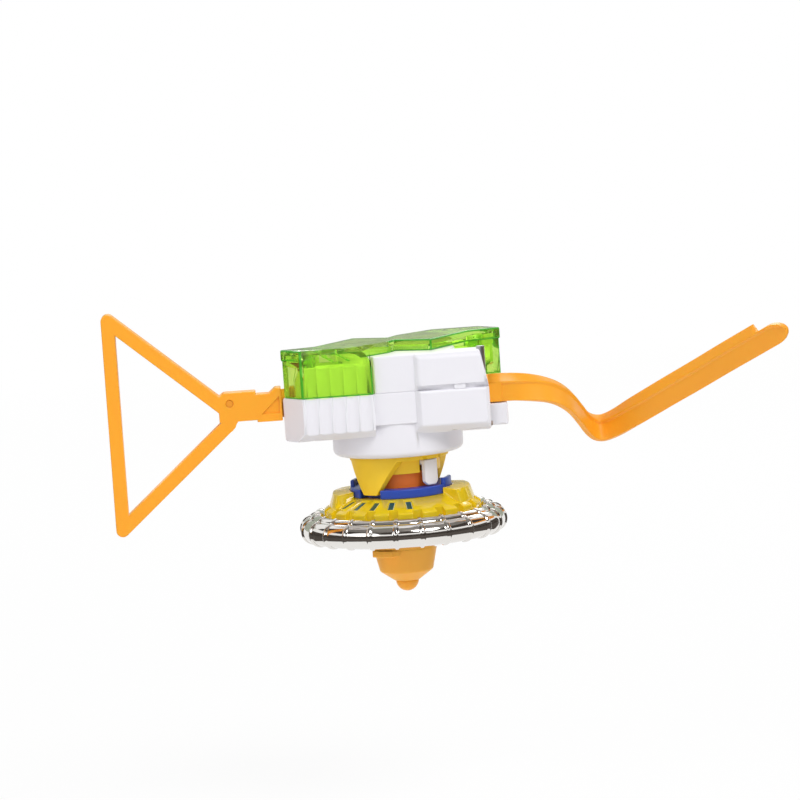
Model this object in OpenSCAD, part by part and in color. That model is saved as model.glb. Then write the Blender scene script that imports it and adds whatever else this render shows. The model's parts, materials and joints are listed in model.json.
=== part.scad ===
// Spinning top launcher: a hand-held housing with a ripcord, a claw rotor and a clipped-in top.
// The origin is on the spin axis, in the plane of the cover's flat top. +Z is up, the top hangs
// below, and +X points along the strip towards its free tail. Millimetres.

/* [Housing] */
// Distance from the spin axis to a wing tip
wing_reach = 27.2; // [26:0.1:30]
// How far the outer faces stand out from the skirt
wing_over = 1.7; // [1.2:0.1:2.5]
// Distance of a wing tip from the centre plane
tip_offset = 10.5; // [9:0.1:12]
// Length of the cut corner at a wing tip
tip_cut = 4.6; // [3:0.1:6]
// Distance from the spin axis to a wing's inner end
wing_inner = 5.6; // [5:0.1:7]
// How far a wing's foot runs past the centre plane
foot_heel = 8; // [7:0.1:10]
// Distance from the spin axis to a side block's inner end
block_inner = 4.6; // [4:0.1:6]
// How far a side block ends before the wing tip
block_setback = 5.2; // [4.5:0.1:7]
// Slant of a side block's outer end
block_draft = 1.7; // [0.5:0.1:2.5]
// Bevel of the moulded edges
edge_bevel = 0.9; // [0.4:0.1:1.2]
// Height of the groove over the parting plane
groove_h = 1.2; // [0.8:0.1:1.6]
// Depth of the groove
groove_d = 0.9; // [0.5:0.1:1.2]
// How far the front panel stands back from the outer faces
panel_back = 1.4; // [1:0.1:1.8]
// Height of the lower housing's blocks
foot_h = 10.4; // [8.5:0.1:11]
// Depth of the slope at the front of a foot's underside
foot_slope_d = 3; // [2:0.1:4]
// Height of that slope
foot_slope_h = 2; // [1:0.1:2.6]
// Height of the drum below the parting plane
drum_drop = 7.6; // [7.2:0.1:8.2]
// Wall of the round skirt
skirt_wall = 2.9; // [2:0.1:3.6]
// Height of the skirt
skirt_h = 8.3; // [8:0.1:9.5]
// Radius of the skirt's lower edge
skirt_round = 1.5; // [0.5:0.1:2]
// Number of upright flutes on a wing
flute_count = 5; // [3:1:6]
// Radius of a flute
flute_r = 3; // [2:0.1:4]
// Depth of a flute
flute_depth = 0.5; // [0.2:0.1:0.8]

/* [Cover] */
// Height of the cover's wings
cover_h = 11.6; // [11:0.1:13]
// Wall of the cover
cover_wall = 1.3; // [0.9:0.1:1.8]
// Thickness of the cover's flat top
cover_top_t = 1.4; // [1:0.1:1.8]
// Height of the cover's band over the drum
band_h = 2.8; // [2.4:0.1:4]
// Radius of a wing's rounded inner corner
wing_round = 5.5; // [4:0.1:6.5]
// Gap between the cover's walls and the body inside them
cover_gap = 0.25; // [0.1:0.05:0.5]
// How far a wing's walls stand in from the cover's edge at its tip
wing_step = 0.3; // [0.2:0.1:0.6]
// Drop from the flat top to the body inside a wing
wing_drop = 4.4; // [4:0.1:6]
// Radius of a cover boss
cover_boss_r = 1.9; // [1.6:0.1:2.4]

/* [Strip drive] */
// Tooth module of the rack and the gear
tooth_module = 0.9; // [0.8:0.05:1]
// Number of teeth on the drive gear
gear_teeth = 12; // [11:1:13]
// Pressure angle of the teeth
pressure_angle = 25; // [22:1:26]
// Play between the teeth
backlash = 0.12; // [0.08:0.01:0.2]
// Height of the drive gear
gear_h = 6.3; // [6:0.1:7]
// Depth of the strip's middle below the flat top
strip_depth = 13; // [12.6:0.1:13.4]
// Height of the strip
strip_h = 6.7; // [6.5:0.1:7.5]
// Thickness of the strip behind its teeth
strip_web = 1.8; // [1.4:0.1:2.2]
// Depth of the strip's sloped upper edge
strip_slope_d = 1.2; // [0.8:0.1:1.5]
// Height of the strip's sloped upper edge
strip_slope_h = 1.9; // [1.4:0.1:2.4]
// Plain edge above and below the rack's teeth
rack_margin = 0.9; // [0.5:0.1:1.4]
// Play around the strip in its slot
strip_play = 0.3; // [0.2:0.05:0.5]
// How far the strip runs straight past the side block
strip_lead = 2; // [1:0.5:5]

/* [Pull ring] */
// Gap between the stem and the housing
stem_gap = 0.3; // [0.2:0.1:1]
// Length of the stem's truss
truss_len = 6.1; // [5.5:0.1:8]
// Height of the truss
truss_h = 8; // [7.5:0.1:9]
// Length of the stem's hub
hub_len = 9.1; // [8.5:0.1:12]
// Height of the hub
hub_h = 7; // [6.6:0.1:8]
// Thickness of the stem and ring
ring_t = 5; // [4.4:0.1:6]
// Width of the ring's bars
ring_bar = 3.2; // [2.8:0.1:4]
// Distance from the hub to the ring's grip bar
ring_len = 25; // [20:0.5:30]
// Angle of the ring's arms
arm_angle = 41; // [36:0.5:44]
// How far the ring's middle hangs below the strip's middle
ring_drop = 2.6; // [1:0.1:3]
// Diameter of the ring's pin
ring_pin_d = 1.6; // [1.2:0.1:2]

/* [Spindle] */
// Diameter of the spindle
spindle_d = 3; // [2.5:0.1:3.4]
// Running play of the spindle in its bushes
running_play = 0.05; // [0.02:0.01:0.1]
// Outer diameter of the bushes
bush_d = 6; // [5:0.1:7]
// Length of the upper bush
bush_len = 4; // [3:0.1:4.5]
// Play of pressed and screwed seats
seat_play = 0.01; // [0.005:0.005:0.02]
// Diameter of the screws
screw_d = 2; // [1.6:0.1:2.2]
// Diameter of the screw heads
screw_head_d = 3.8; // [3.2:0.1:4.2]
// Height of the screw heads
screw_head_h = 1.3; // [1:0.1:1.6]

/* [Claw rotor] */
// Radius of the rotor's rim
rotor_r = 12; // [11.6:0.1:12.2]
// Step from the rotor's rim to its cup
cup_step = 2.2; // [2:0.1:2.4]
// Wall of the cup
cup_wall = 1.2; // [1:0.1:1.4]
// Height of the rim
rim_h = 2; // [1.4:0.1:2.4]
// How far the cup reaches below the skirt
cup_drop = 4.6; // [4.2:0.1:5]
// How far the claws reach below the skirt
claw_drop = 9.3; // [9:0.1:9.6]
// Width of a claw at its root
claw_root = 17; // [14:0.5:18]
// Width of a claw at its tip
claw_tip = 4; // [3:0.1:5]
// Direction of the first claw
claw_angle = 228; // [225:1:245]
// Direction of the first ejector tab
tab_angle = 311; // [305:1:320]
// Width of an ejector tab
tab_w = 4.2; // [3:0.1:5]
// Thickness of an ejector tab
tab_t = 1.2; // [0.9:0.1:1.3]
// Travel of the ejector
ejector_lift = 1.4; // [0.8:0.1:1.5]
// Diameter of the ejector spring's wire
spring_wire = 0.6; // [0.4:0.1:0.7]
// Turns of the ejector spring
spring_turns = 3; // [2:1:3]

/* [Top] */
// How far the chrome ring stands out from the disc
chrome_rim = 5.9; // [5.6:0.1:7]
// Radius of the chrome ring's rounded rim
chrome_round = 2.9; // [2.6:0.1:3.1]
// Number of ribs round the chrome ring
rib_count = 24; // [16:1:30]
// How far the disc stands out from the lock ring
disc_rim = 6.8; // [6:0.1:7.6]
// Height of the disc
disc_h = 5; // [4.6:0.1:5.4]
// Number of teeth round the disc
disc_teeth = 20; // [12:1:24]
// Number of inlaid bars in each half of the disc
inlay_count = 5; // [3:1:6]
// How far the lock ring stands out from the rotor
lock_lip = 0.3; // [0.2:0.1:0.8]
// Height of the lock ring
lock_h = 2.2; // [1.8:0.1:2.4]
// Radius of the cup under the top
base_r = 7.8; // [7:0.1:8.5]
// Length of the cup and tip under the chrome ring
base_len = 11; // [10:0.1:13]
// Radius of the spinning tip
tip_r = 2.8; // [2.4:0.1:3]

/* [Hidden] */
$fn = 48;
eps = 0.01;
cut = 1;
free_gap = 0.3;

// Levels of the housing
z_part = -cover_h;
z_roof = -band_h;
z_under = z_part - foot_h;
z_step = z_part - drum_drop;
z_rim = z_step - skirt_h;
z_strip = -strip_depth;

// Radii that follow the rotor
rotor_room = 0.9;
cavity_r = rotor_r + rotor_room;
skirt_r = cavity_r + skirt_wall;
drum_step = 0.6;
drum_r = skirt_r - drum_step;
wing_depth = skirt_r + wing_over;

// Plans of the housing, seen from above
waist = [wing_reach - 8.2, 7.5];
band_turn = 10.8;
band_step = [-0.8, -7.5];
band_notch = [0.9, -3.6];
band_nose = [9.2, -8.5];
back_slope = (tip_offset - waist.y) / (wing_reach - waist.x);
wing_tip = [
    -wing_reach + wing_step,
    -tip_offset - wing_step * (wing_depth - tip_offset) / tip_cut
];
wing_waist_y = wing_tip.y + back_slope * (-waist.x - wing_tip.x);
wing_plan = [
    wing_tip,
    [-wing_reach + tip_cut, -wing_depth],
    [-wing_inner, -wing_depth],
    [-wing_inner, wing_waist_y],
    [-waist.x, wing_waist_y]
];
band_half = [
    [-wing_reach, -tip_offset],
    [-wing_reach + tip_cut, -wing_depth],
    [-band_turn, -wing_depth],
    band_step,
    band_notch,
    band_nose,
    [waist.x, waist.y]
];
band_plan = concat(band_half, -band_half);
foot_setback = 0.5;
foot_plan = [
    [-wing_reach, -tip_offset],
    [-wing_reach + tip_cut, -wing_depth],
    [-wing_inner, -wing_depth],
    [-wing_inner, foot_heel],
    [-wing_reach + foot_setback, foot_heel]
];
block_outer = wing_reach - block_setback;
groove_bevel = 0.4;
latch_x = [13.7, 16.4];
latch_back = 0.3;
flute_margin = 2.1;
flute_pitch = (wing_reach - tip_cut - wing_inner - 2 * flute_margin) / (flute_count - 1);
body_inset = cover_wall + cover_gap;
wing_screw_inset = [6.5, 5.1];
block_screw_inset = 4.5;
wing_screw = [wing_reach - wing_screw_inset.x, wing_depth - wing_screw_inset.y];
block_screw = [(block_inner + block_outer) / 2, wing_depth - block_screw_inset];
screw_play = 0.2;
housing_screw_grip = 5.5;
cover_screw_end = 0.8;
boss_floor = 0.4;
cover_rib_t = 0.7;
cover_rib_run = 3.1;
cover_rib_drop = 1.9;
cover_rib_reach = 6;
cover_rib_xs = [-18, -14.2];

// Rack and gear
pitch_r = tooth_module * gear_teeth / 2;
tooth_pitch = PI * tooth_module;
addendum = 0.94 * tooth_module;
dedendum = 1.17 * tooth_module;
base_circle = pitch_r * cos(pressure_angle);
gear_tip = pitch_r + addendum;
gear_root = pitch_r - dedendum;
rack_root_y = -pitch_r - dedendum;
rack_tip_y = -pitch_r + addendum;
strip_front_y = rack_root_y - strip_web;
rack_half = tooth_pitch / 4 - backlash / 2;
rack_tip_half = rack_half - addendum * tan(pressure_angle);
rack_root_half = rack_half + dedendum * tan(pressure_angle);
slot_y = [strip_front_y - strip_play, rack_tip_y + strip_play];
slot_z = [z_strip - strip_h / 2 - strip_play, z_strip + strip_h / 2 + strip_play];
gear_room = 0.6;
gear_pocket_r = gear_tip + gear_room;
strip_end = ceil((block_outer + strip_lead) / tooth_pitch) * tooth_pitch;

// Spindle, bushes and rotor
spindle_r = spindle_d / 2;
bush_r = bush_d / 2;
bush_bore = spindle_r + running_play;
end_play = 0.1;
gear_z = [z_strip - gear_h / 2, z_strip + gear_h / 2];
upper_bush_z = [gear_z[1] + end_play, gear_z[1] + end_play + bush_len];
cavity_h = 5.1;
cavity_z = z_rim + cavity_h;
lower_bush_z = [cavity_z, gear_z[0] - end_play];
washer_t = 0.4;
washer_r = 4.2;
rotor_top = cavity_z - washer_t - 2 * end_play;
cup_roof_t = 1.6;
cup_roof = rotor_top - cup_roof_t;
cup_r = rotor_r - cup_step;
cup_in = cup_r - cup_wall;
cup_end = z_rim - cup_drop;
rim_rise = 0.7;
rim_top = z_rim + rim_rise;
rim_end = rim_top - rim_h;
claw_end = z_rim - claw_drop;
claw_in = cup_r + free_gap;
function claw_width(z) = claw_tip + (claw_root - claw_tip) * (z - claw_end) / (rim_top - claw_end);
hub_r = 2.8;
hub_rise = 1.8;
hub_end = cup_end + hub_rise;
stop_washer_t = 0.5;
stop_washer_z = hub_end - stop_washer_t;
rotor_screw_r = 0.8;
rotor_screw_grip = 3.5;
rotor_screw_bore = 4;
screw_r = screw_d / 2;
head_r = screw_head_d / 2;
rotor_head_h = 0.7;

// Ejector
ejector_t = 1.2;
ejector_z = hub_end + end_play;
ejector_room = 0.4;
ejector_ring_r = cup_in - ejector_room;
ejector_bore = hub_r + free_gap;
tab_in = claw_in;
tab_out = tab_in + tab_t;
tab_top = ejector_z + ejector_t;
tab_play = 0.2;
window_w = tab_w + 2 * tab_play;
window_top = max(tab_top + ejector_lift + free_gap, rim_top + end_play);

// Top
claw_clear = 0.9;
z_top = claw_end - claw_clear;
core_r = cup_in - free_gap;
core_recess = 0.2;
lock_in = core_r + free_gap;
lock_r = rotor_r + lock_lip;
lug_angle = -20;
lug_w = 5.5;
lug_h = 1.5;
lug_t = 1;
z_lock = z_top + lock_h;
tab_end = z_lock + free_gap;
core_top = stop_washer_z - rotor_head_h - free_gap;
z_disc = z_top - disc_h;
disc_shelf = 3.7;
disc_bore = core_r - disc_shelf;
disc_r = lock_r + disc_rim;
disc_flat = lock_r + free_gap;
disc_slope = [1.2, 2.1];
disc_edge = 0.7;
notch_w = 2.2;
notch_d = 1.5;
raised_h = 1.6;
raised_inset = 0.6;
raised_slope = [1.8, 0.4];
raised_angles = [-40, 22];
inlay_r = [disc_flat + 0.9, disc_r - 2];
inlay_w = 1.5;
inlay_first = 210;
inlay_step = 16;
inlay_depth = 3;
inlay_sunk = 0.2;
chrome_r = disc_r + chrome_rim;
chrome_drop = 2.5;
chrome_eq = z_disc - chrome_drop;
chrome_mid = chrome_r - chrome_round;
chrome_low = chrome_eq - chrome_round;
chrome_tier = 1.6;
chrome_tier_drop = 0.3;
chrome_floor = 1;
chrome_foot = 0.6;
chrome_hub_gap = 1.4;
chrome_hub_wall = 1.5;
chrome_hub = [disc_bore + chrome_hub_gap, disc_bore + chrome_hub_gap + chrome_hub_wall];
rib_w = 0.8;
rib_out = 0.3;
base_gap = 2.7;
z_base = chrome_low - base_gap;
z_tip = z_base - base_len;
base_wall_h = 5.8;
base_taper = 1.3;
tip_shoulder = 0.2;
tip_seat = z_tip + tip_r - 0.1;
tip_socket_h = 3.3;
tip_socket = tip_seat + tip_socket_h;
tip_stem_r = tip_r - 0.6;
boss_r = disc_bore - seat_play;
core_screw_len = 4;
lobe_r = 11.4;
lobe_w = 5.5;
lobe_h = 1.2;
lobe_angle = 237;

// Stem and ring
stem_x = -wing_reach - stem_gap;
truss_x = stem_x - truss_len;
hub_x = truss_x - hub_len;
stem_y = (strip_front_y + rack_root_y) / 2 - ring_t / 2;
tongue_h = 4.8;
tongue_x = hub_x + 1;
ring_pin_at = [hub_x + 2.7, z_strip + 0.9];
hub_bevel = [1.4, 0.9];
truss_top = 1.4;
neck_run = 1.5;
neck_drop = 1.3;
recess_d = 0.6;
recess_in = [0.6, 1.3];
recess_top = 2.2;
recess_low = 1.9;
arm_start = [hub_x + 2.4, 1.4];
grip_x = hub_x - ring_len;
grip_half = arm_start.y + (arm_start.x - grip_x) * tan(arm_angle);
gusset = [[4.8, -3], [0.5, -3], [-0.5, -6.9], [2.2, -6.1], [3.1, -5.6]];

// Tail of the strip: places past the straight part, and how far it has swung along tail_dir there
tail_lean = 33;
tail_dir = [0, -cos(tail_lean), sin(tail_lean)];
tail_twist_len = 14;
tail_grow = 0.08;
tail_route = [
    [0, 0], [3.2, -0.6], [7, -2.3], [10.7, -4.6], [13.8, -8], [16.4, -12.7], [18.9, -18.4],
    [21.3, -23.7], [23.7, -25.9], [26.4, -25.4], [29.9, -22], [34.6, -16.3], [41.3, -8.1],
    [48.2, 0], [54.8, 8], [60.8, 15.2], [64.8, 20], [67.1, 22.2]
];
route_steps = 6;
end_tab_len = 8;
end_tab_step = 0.3;
tail_end_round = 4;
root_skin = 0.05;

// Moves every edge of a counter-clockwise outline inwards by d
function edge_normal(a, b) = [a.y - b.y, b.x - a.x] / norm(b - a);
function inset_corner(n1, n2, d) = (n1 + n2) * d / (1 + n1 * n2);
function inset(p, d) = [
    for (i = [0 : len(p) - 1])
        let (before = p[(i + len(p) - 1) % len(p)], after = p[(i + 1) % len(p)])
            p[i] + inset_corner(edge_normal(before, p[i]), edge_normal(p[i], after), d)
];

// Half angle of a gear tooth at radius r, with involute flanks
function involute(a) = tan(a) * 180 / PI - a;
function tooth_half_angle(r) =
    90 / gear_teeth - backlash / 2 / pitch_r * 180 / PI
    + involute(pressure_angle) - involute(acos(min(1, base_circle / r)));
function polar(r, a) = [r * cos(a), r * sin(a)];

// Smooth curve through the tail's route
function blend(a, b, c, d, t) =
    b + 0.5 * t * (c - a + t * (2 * a - 5 * b + 4 * c - d + t * (3 * (b - c) + d - a)));
function route(u) =
    let (last = len(tail_route) - 1, i = min(floor(u), last - 1))
        blend(tail_route[max(i - 1, 0)], tail_route[i], tail_route[i + 1],
              tail_route[min(i + 2, last)], u - i);
function tail_point(u) =
    let (p = route(u)) [strip_end + p.x, rack_root_y, z_strip] + p.y * tail_dir;
function unit(v) = v / norm(v);
along_step = 0.05;
function tail_along(u) = u < along_step
    ? [1, 0, 0]
    : unit(tail_point(min(u + along_step, len(tail_route) - 1)) - tail_point(u - along_step));
route_us = [for (i = [0 : (len(tail_route) - 1) * route_steps]) i / route_steps];
route_pts = [for (u = route_us) tail_point(u)];
route_table = [
    for (i = 0, s = 0; i < len(route_us);
         s = s + (i + 1 < len(route_us) ? norm(route_pts[i + 1] - route_pts[i]) : 0), i = i + 1)
        [s, route_us[i]]
];
tail_len = route_table[len(route_table) - 1][0];

module twofold() {
    children();
    rotate([0, 0, 180]) children();
}

module along_x(x0, x1) {
    translate([x0, 0, 0]) rotate([90, 0, 90]) linear_extrude(x1 - x0) children();
}

module along_y(y0, y1) {
    translate([0, y1, 0]) rotate([90, 0, 0]) linear_extrude(y1 - y0) children();
}

module tube(r_in, r_out, z0, z1) {
    translate([0, 0, z0]) difference() {
        cylinder(r = r_out, h = z1 - z0);
        translate([0, 0, -cut]) cylinder(r = r_in, h = z1 - z0 + 2 * cut);
    }
}

module column(r, z0, z1) {
    translate([0, 0, z0]) cylinder(r = r, h = z1 - z0);
}

// Passage for the strip, through every piece that it crosses
module strip_slot() {
    translate([-wing_reach - cut, slot_y[0], slot_z[0]])
        cube([2 * (wing_reach + cut), slot_y[1] - slot_y[0], slot_z[1] - slot_z[0]]);
}

module gear_pocket() {
    column(gear_pocket_r, slot_z[0], slot_z[1]);
}

module wing_flutes(front, z0, z1) {
    first = -wing_inner - flute_margin - (flute_count - 1) * flute_pitch;
    for (i = [0 : flute_count - 1])
        translate([first + i * flute_pitch, front - flute_r + flute_depth, 0])
            column(flute_r, z0 - cut, z1 + cut);
}

// Outline of a side block from above, with its front corners bevelled
module block_outline() {
    polygon([
        [block_inner + edge_bevel, -wing_depth],
        [block_outer - edge_bevel, -wing_depth],
        [block_outer, -wing_depth + edge_bevel],
        [block_outer, -foot_heel + eps],
        [0, -foot_heel + eps],
        [0, -wing_depth / 2],
        [block_inner, -wing_depth + edge_bevel]
    ]);
}

// Flat front panel between a wing and the next side block
module front_panel(x_gap, z0, z1) {
    translate([x_gap - wing_inner, panel_back - wing_depth, z0])
        cube([wing_inner + block_inner + edge_bevel - x_gap, wing_depth - panel_back - foot_heel, z1 - z0]);
}

module screw(z_head, z_end) {
    column(head_r, z_head, z_head + screw_head_h);
    column(screw_r - seat_play, z_head + screw_head_h - eps, z_end);
}

module screw_hole(z_end) {
    column(head_r + free_gap, z_under - cut, z_under + screw_head_h + free_gap);
    column(screw_r + screw_play, z_under, z_end);
}

module lower_housing() color("white") difference() {
    union() {
        column(drum_r, z_step - eps, z_part);
        translate([0, 0, z_rim]) rotate_extrude($fn = 96) {
            translate([0, skirt_round]) square([skirt_r, skirt_h - skirt_round]);
            square([skirt_r - skirt_round, skirt_h]);
            translate([skirt_r - skirt_round, skirt_round]) circle(skirt_round);
        }
        twofold() front_panel(0, z_step - eps, z_part);
        twofold() intersection() {
            translate([0, 0, z_under]) linear_extrude(foot_h) polygon(foot_plan);
            along_x(-wing_reach, 0) polygon([
                [-wing_depth, z_part],
                [-wing_depth, z_under + foot_slope_h],
                [-wing_depth + foot_slope_d, z_under],
                [foot_heel, z_under],
                [foot_heel, z_part]
            ]);
        }
        twofold() intersection() {
            translate([0, 0, z_under]) linear_extrude(foot_h) block_outline();
            along_x(0, block_outer) polygon([
                [-wing_depth + groove_bevel, z_part],
                [-wing_depth, z_part - groove_bevel],
                [-wing_depth, z_under + foot_slope_h],
                [-wing_depth + foot_slope_d, z_under],
                [0, z_under],
                [0, z_part]
            ]);
        }
    }
    strip_slot();
    gear_pocket();
    twofold() wing_flutes(-wing_depth, z_under, z_part);
    column(bush_r + seat_play, cavity_z - cut, slot_z[0] + cut);
    column(cavity_r, z_rim - cut, cavity_z);
    twofold() {
        translate([-wing_screw.x, -wing_screw.y, 0]) screw_hole(z_part + cut);
        translate([block_screw.x, -block_screw.y, 0]) screw_hole(z_part + cut);
    }
}

module upper_housing() color("white") difference() {
    union() {
        column(drum_r, z_part, z_roof);
        translate([0, 0, z_roof - eps]) linear_extrude(band_h - cover_top_t + eps) intersection() {
            polygon(inset(band_plan, body_inset));
            circle(drum_r - edge_bevel);
        }
        twofold() translate([0, 0, z_part])
            linear_extrude(cover_h - wing_drop) polygon(inset(wing_plan, body_inset));
        twofold() front_panel(cover_gap, z_part, z_roof);
        twofold() translate([latch_x[0], latch_back - wing_depth, z_part + seat_play])
            cube([latch_x[1] - latch_x[0], groove_d, groove_h]);
        twofold() intersection() {
            translate([0, 0, z_part]) linear_extrude(z_roof - z_part) block_outline();
            along_x(0, block_outer) polygon([
                [-wing_depth + groove_d, z_part],
                [-wing_depth + groove_d, z_part + groove_h],
                [-wing_depth, z_part + groove_h],
                [-wing_depth, z_roof - edge_bevel],
                [-wing_depth + edge_bevel, z_roof],
                [0, z_roof],
                [0, z_part]
            ]);
            along_y(-wing_depth, 0) polygon([
                [0, z_part],
                [block_outer, z_part],
                [block_outer - block_draft, z_roof],
                [0, z_roof]
            ]);
        }
    }
    strip_slot();
    gear_pocket();
    twofold() wing_flutes(-wing_depth + body_inset, z_part, -wing_drop);
    column(bush_r + seat_play, slot_z[1] - cut, upper_bush_z[1]);
    twofold() {
        translate([-wing_screw.x, -wing_screw.y, 0]) column(screw_r + screw_play, z_part - cut, 0);
        translate([block_screw.x, -block_screw.y, 0])
            column(screw_r, z_part - cut, z_part + housing_screw_grip + free_gap);
    }
}

// Front outline of a wing, with its inner upper corner rounded by r
module wing_front(x_inner, z_top, r) {
    translate([-wing_reach - cut, z_part - cut])
        square([wing_reach + cut - x_inner - r, z_top - z_part + cut]);
    translate([-wing_reach - cut, z_part - cut])
        square([wing_reach + cut - x_inner, z_top - r - z_part + cut]);
    translate([-x_inner - r, z_top - r]) circle(r);
}

module cover_solid(wall, z_top, z_band, r) {
    twofold() intersection() {
        translate([0, 0, z_part - (wall > 0 ? cut : 0)])
            linear_extrude(z_top - z_part + (wall > 0 ? cut : 0)) polygon(inset(wing_plan, wall));
        along_y(-wing_depth - cut, 0) wing_front(wing_inner + wall, z_top, r);
    }
    translate([0, 0, z_band]) linear_extrude(z_top - z_band) polygon(inset(band_plan, wall));
}

module top_cover() color([0.45, 0.85, 0.2, 0.6]) {
    difference() {
        cover_solid(0, 0, z_roof, wing_round);
        cover_solid(cover_wall, -cover_top_t, z_roof - cut, wing_round - cover_wall);
        column(drum_r + cover_gap, z_part - cut, z_roof);
        strip_slot();
    }
    twofold() translate([-wing_screw.x, -wing_screw.y, 0]) difference() {
        column(cover_boss_r, -wing_drop, -cover_top_t + eps);
        column(screw_r, -wing_drop - cut, -cover_top_t - boss_floor);
    }
    twofold() for (x = cover_rib_xs) translate([x, 0, -cover_top_t + eps])
        along_y(cover_wall / 2 - wing_depth, cover_rib_reach - wing_depth) polygon([
            [0, 0],
            [cover_rib_run, -cover_rib_drop],
            [cover_rib_run + cover_rib_t, -cover_rib_drop],
            [cover_rib_t, 0]
        ]);
}

module cover_screws() color("silver") twofold()
    translate([-wing_screw.x, -wing_screw.y, 0])
        screw(z_under + free_gap, -cover_top_t - cover_screw_end);

module housing_screws() color("silver") twofold()
    translate([block_screw.x, -block_screw.y, 0])
        screw(z_under + free_gap, z_part + housing_screw_grip);

module upper_bush() color("goldenrod") tube(bush_bore, bush_r, upper_bush_z[0], upper_bush_z[1]);

module lower_bush() color("goldenrod") tube(bush_bore, bush_r, lower_bush_z[0], lower_bush_z[1]);

module gear_outline() {
    flank_steps = 5;
    flank = [for (i = [0 : flank_steps]) base_circle + (gear_tip - base_circle) * i / flank_steps];
    root_half = tooth_half_angle(base_circle);
    polygon([
        for (k = [0 : gear_teeth - 1])
            let (mid = -90 + k * 360 / gear_teeth)
                each concat(
                    [polar(gear_root, mid - root_half)],
                    [for (r = flank) polar(r, mid - tooth_half_angle(r))],
                    [for (i = [flank_steps : -1 : 0]) polar(flank[i], mid + tooth_half_angle(flank[i]))],
                    [polar(gear_root, mid + root_half)]
                )
    ]);
}

module drive_gear() color("whitesmoke") translate([0, 0, gear_z[0]]) linear_extrude(gear_h)
    difference() {
        gear_outline();
        circle(spindle_r + seat_play);
    }

module spindle() color("silver") difference() {
    column(spindle_r, hub_end, upper_bush_z[1] - free_gap);
    column(rotor_screw_r, hub_end - cut, hub_end + rotor_screw_bore);
}

module ring_sector(r_in, r_out, angle, width, z0, z1) {
    intersection() {
        tube(r_in, r_out, z0, z1);
        rotate([0, 0, angle]) translate([0, -width / 2, z0 - cut])
            cube([r_out + cut, width, z1 - z0 + 2 * cut]);
    }
}

module claw(angle) intersection() {
    tube(claw_in, rotor_r, claw_end, rim_end + eps);
    rotate([90, 0, angle + 90]) translate([0, 0, -rotor_r - cut]) linear_extrude(rotor_r + cut)
        polygon([
            [-claw_root / 2, rim_top],
            [-claw_tip / 2, claw_end],
            [claw_tip / 2, claw_end],
            [claw_root / 2, rim_top]
        ]);
}

module claw_rotor() color("gold") {
    difference() {
        union() {
            tube(spindle_r + seat_play, hub_r, hub_end, rotor_top);
            tube(spindle_r + seat_play, cup_r, cup_roof, rotor_top);
            tube(cup_in, cup_r, cup_end, cup_roof + eps);
            tube(cup_r - eps, rotor_r, rim_end, rim_top);
        }
        twofold() ring_sector(cup_in - cut, tab_out + free_gap, tab_angle, window_w,
                              cup_end - cut, window_top);
    }
    claw(claw_angle);
    claw(claw_angle + 180);
    twofold() ring_sector(cup_r - eps, claw_in + eps, claw_angle, claw_tip, cup_end, rim_end + eps);
}

module thrust_washer() color("silver")
    tube(spindle_r + running_play, washer_r, rotor_top + end_play, rotor_top + end_play + washer_t);

module stop_washer() color("silver") tube(screw_r, washer_r, stop_washer_z, hub_end);

module rotor_screw() color("dimgray") {
    column(head_r, stop_washer_z - rotor_head_h, stop_washer_z);
    column(rotor_screw_r - seat_play, stop_washer_z - eps, hub_end + rotor_screw_grip);
}

module ejector_tab(angle) difference() {
    ring_sector(tab_in, tab_out, angle, tab_w, tab_end, tab_top);
    rotate([0, 0, angle]) for (side = [-1, 1])
        translate([0, side * tab_w / 2, tab_end]) rotate([0, 90, 0])
            rotate([0, 0, 45]) cube([tab_t, tab_t, 3 * tab_out], center = true);
}

module ejector() color("white") {
    tube(ejector_bore, ejector_ring_r, ejector_z, ejector_z + ejector_t);
    twofold() {
        ring_sector(ejector_ring_r - cut, tab_in + eps, tab_angle, tab_w, ejector_z, ejector_z + ejector_t);
        ejector_tab(tab_angle);
    }
}

// One unbroken wire wound round the hub between the ejector and the rotor's roof
module ejector_spring() color("silver") {
    sides = 6;
    per_turn = 12;
    wire_r = spring_wire / 2;
    coil_r = (ejector_bore + ejector_ring_r) / 2;
    z0 = ejector_z + ejector_t + wire_r + seat_play;
    z1 = cup_roof - wire_r - seat_play;
    rings = spring_turns * per_turn;
    pts = [
        for (i = [0 : rings])
            let (a = i * 360 / per_turn, z = z0 + (z1 - z0) * i / rings)
                for (k = [0 : sides - 1])
                    let (b = k * 360 / sides, r = coil_r + wire_r * cos(b))
                        [r * cos(a), r * sin(a), z + wire_r * sin(b)]
    ];
    faces = concat(
        [for (i = [0 : rings - 1]) for (k = [0 : sides - 1])
            let (n = (k + 1) % sides)
                each [[i * sides + k, (i + 1) * sides + k, (i + 1) * sides + n],
                      [i * sides + k, (i + 1) * sides + n, i * sides + n]]],
        [for (k = [1 : sides - 2]) [0, k, k + 1]],
        [for (k = [1 : sides - 2]) [rings * sides, rings * sides + k + 1, rings * sides + k]]
    );
    polyhedron(pts, faces);
}

module core_cap() color([0.82, 0.38, 0.12]) difference() {
    column(core_r, z_top, core_top);
    column(screw_r + screw_play, z_top - cut, core_top + cut);
    column(head_r + free_gap, core_top - screw_head_h - core_recess, core_top + cut);
}

module core_screw() color("dimgray") {
    column(head_r, core_top - screw_head_h - core_recess, core_top - core_recess);
    column(screw_r - seat_play, z_disc - core_screw_len, core_top - screw_head_h - core_recess + eps);
}

module lock_ring() color("royalblue") difference() {
    union() {
        tube(lock_in, lock_r, z_top, z_lock);
        twofold() ring_sector(lock_r - lug_t, lock_r, lug_angle, lug_w, z_lock - eps, z_lock + lug_h);
    }
    twofold() ring_sector(claw_in - free_gap, lock_r + cut, claw_angle,
                          claw_width(z_lock) + 2 * free_gap, z_top - cut, z_lock + cut);
}

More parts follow.
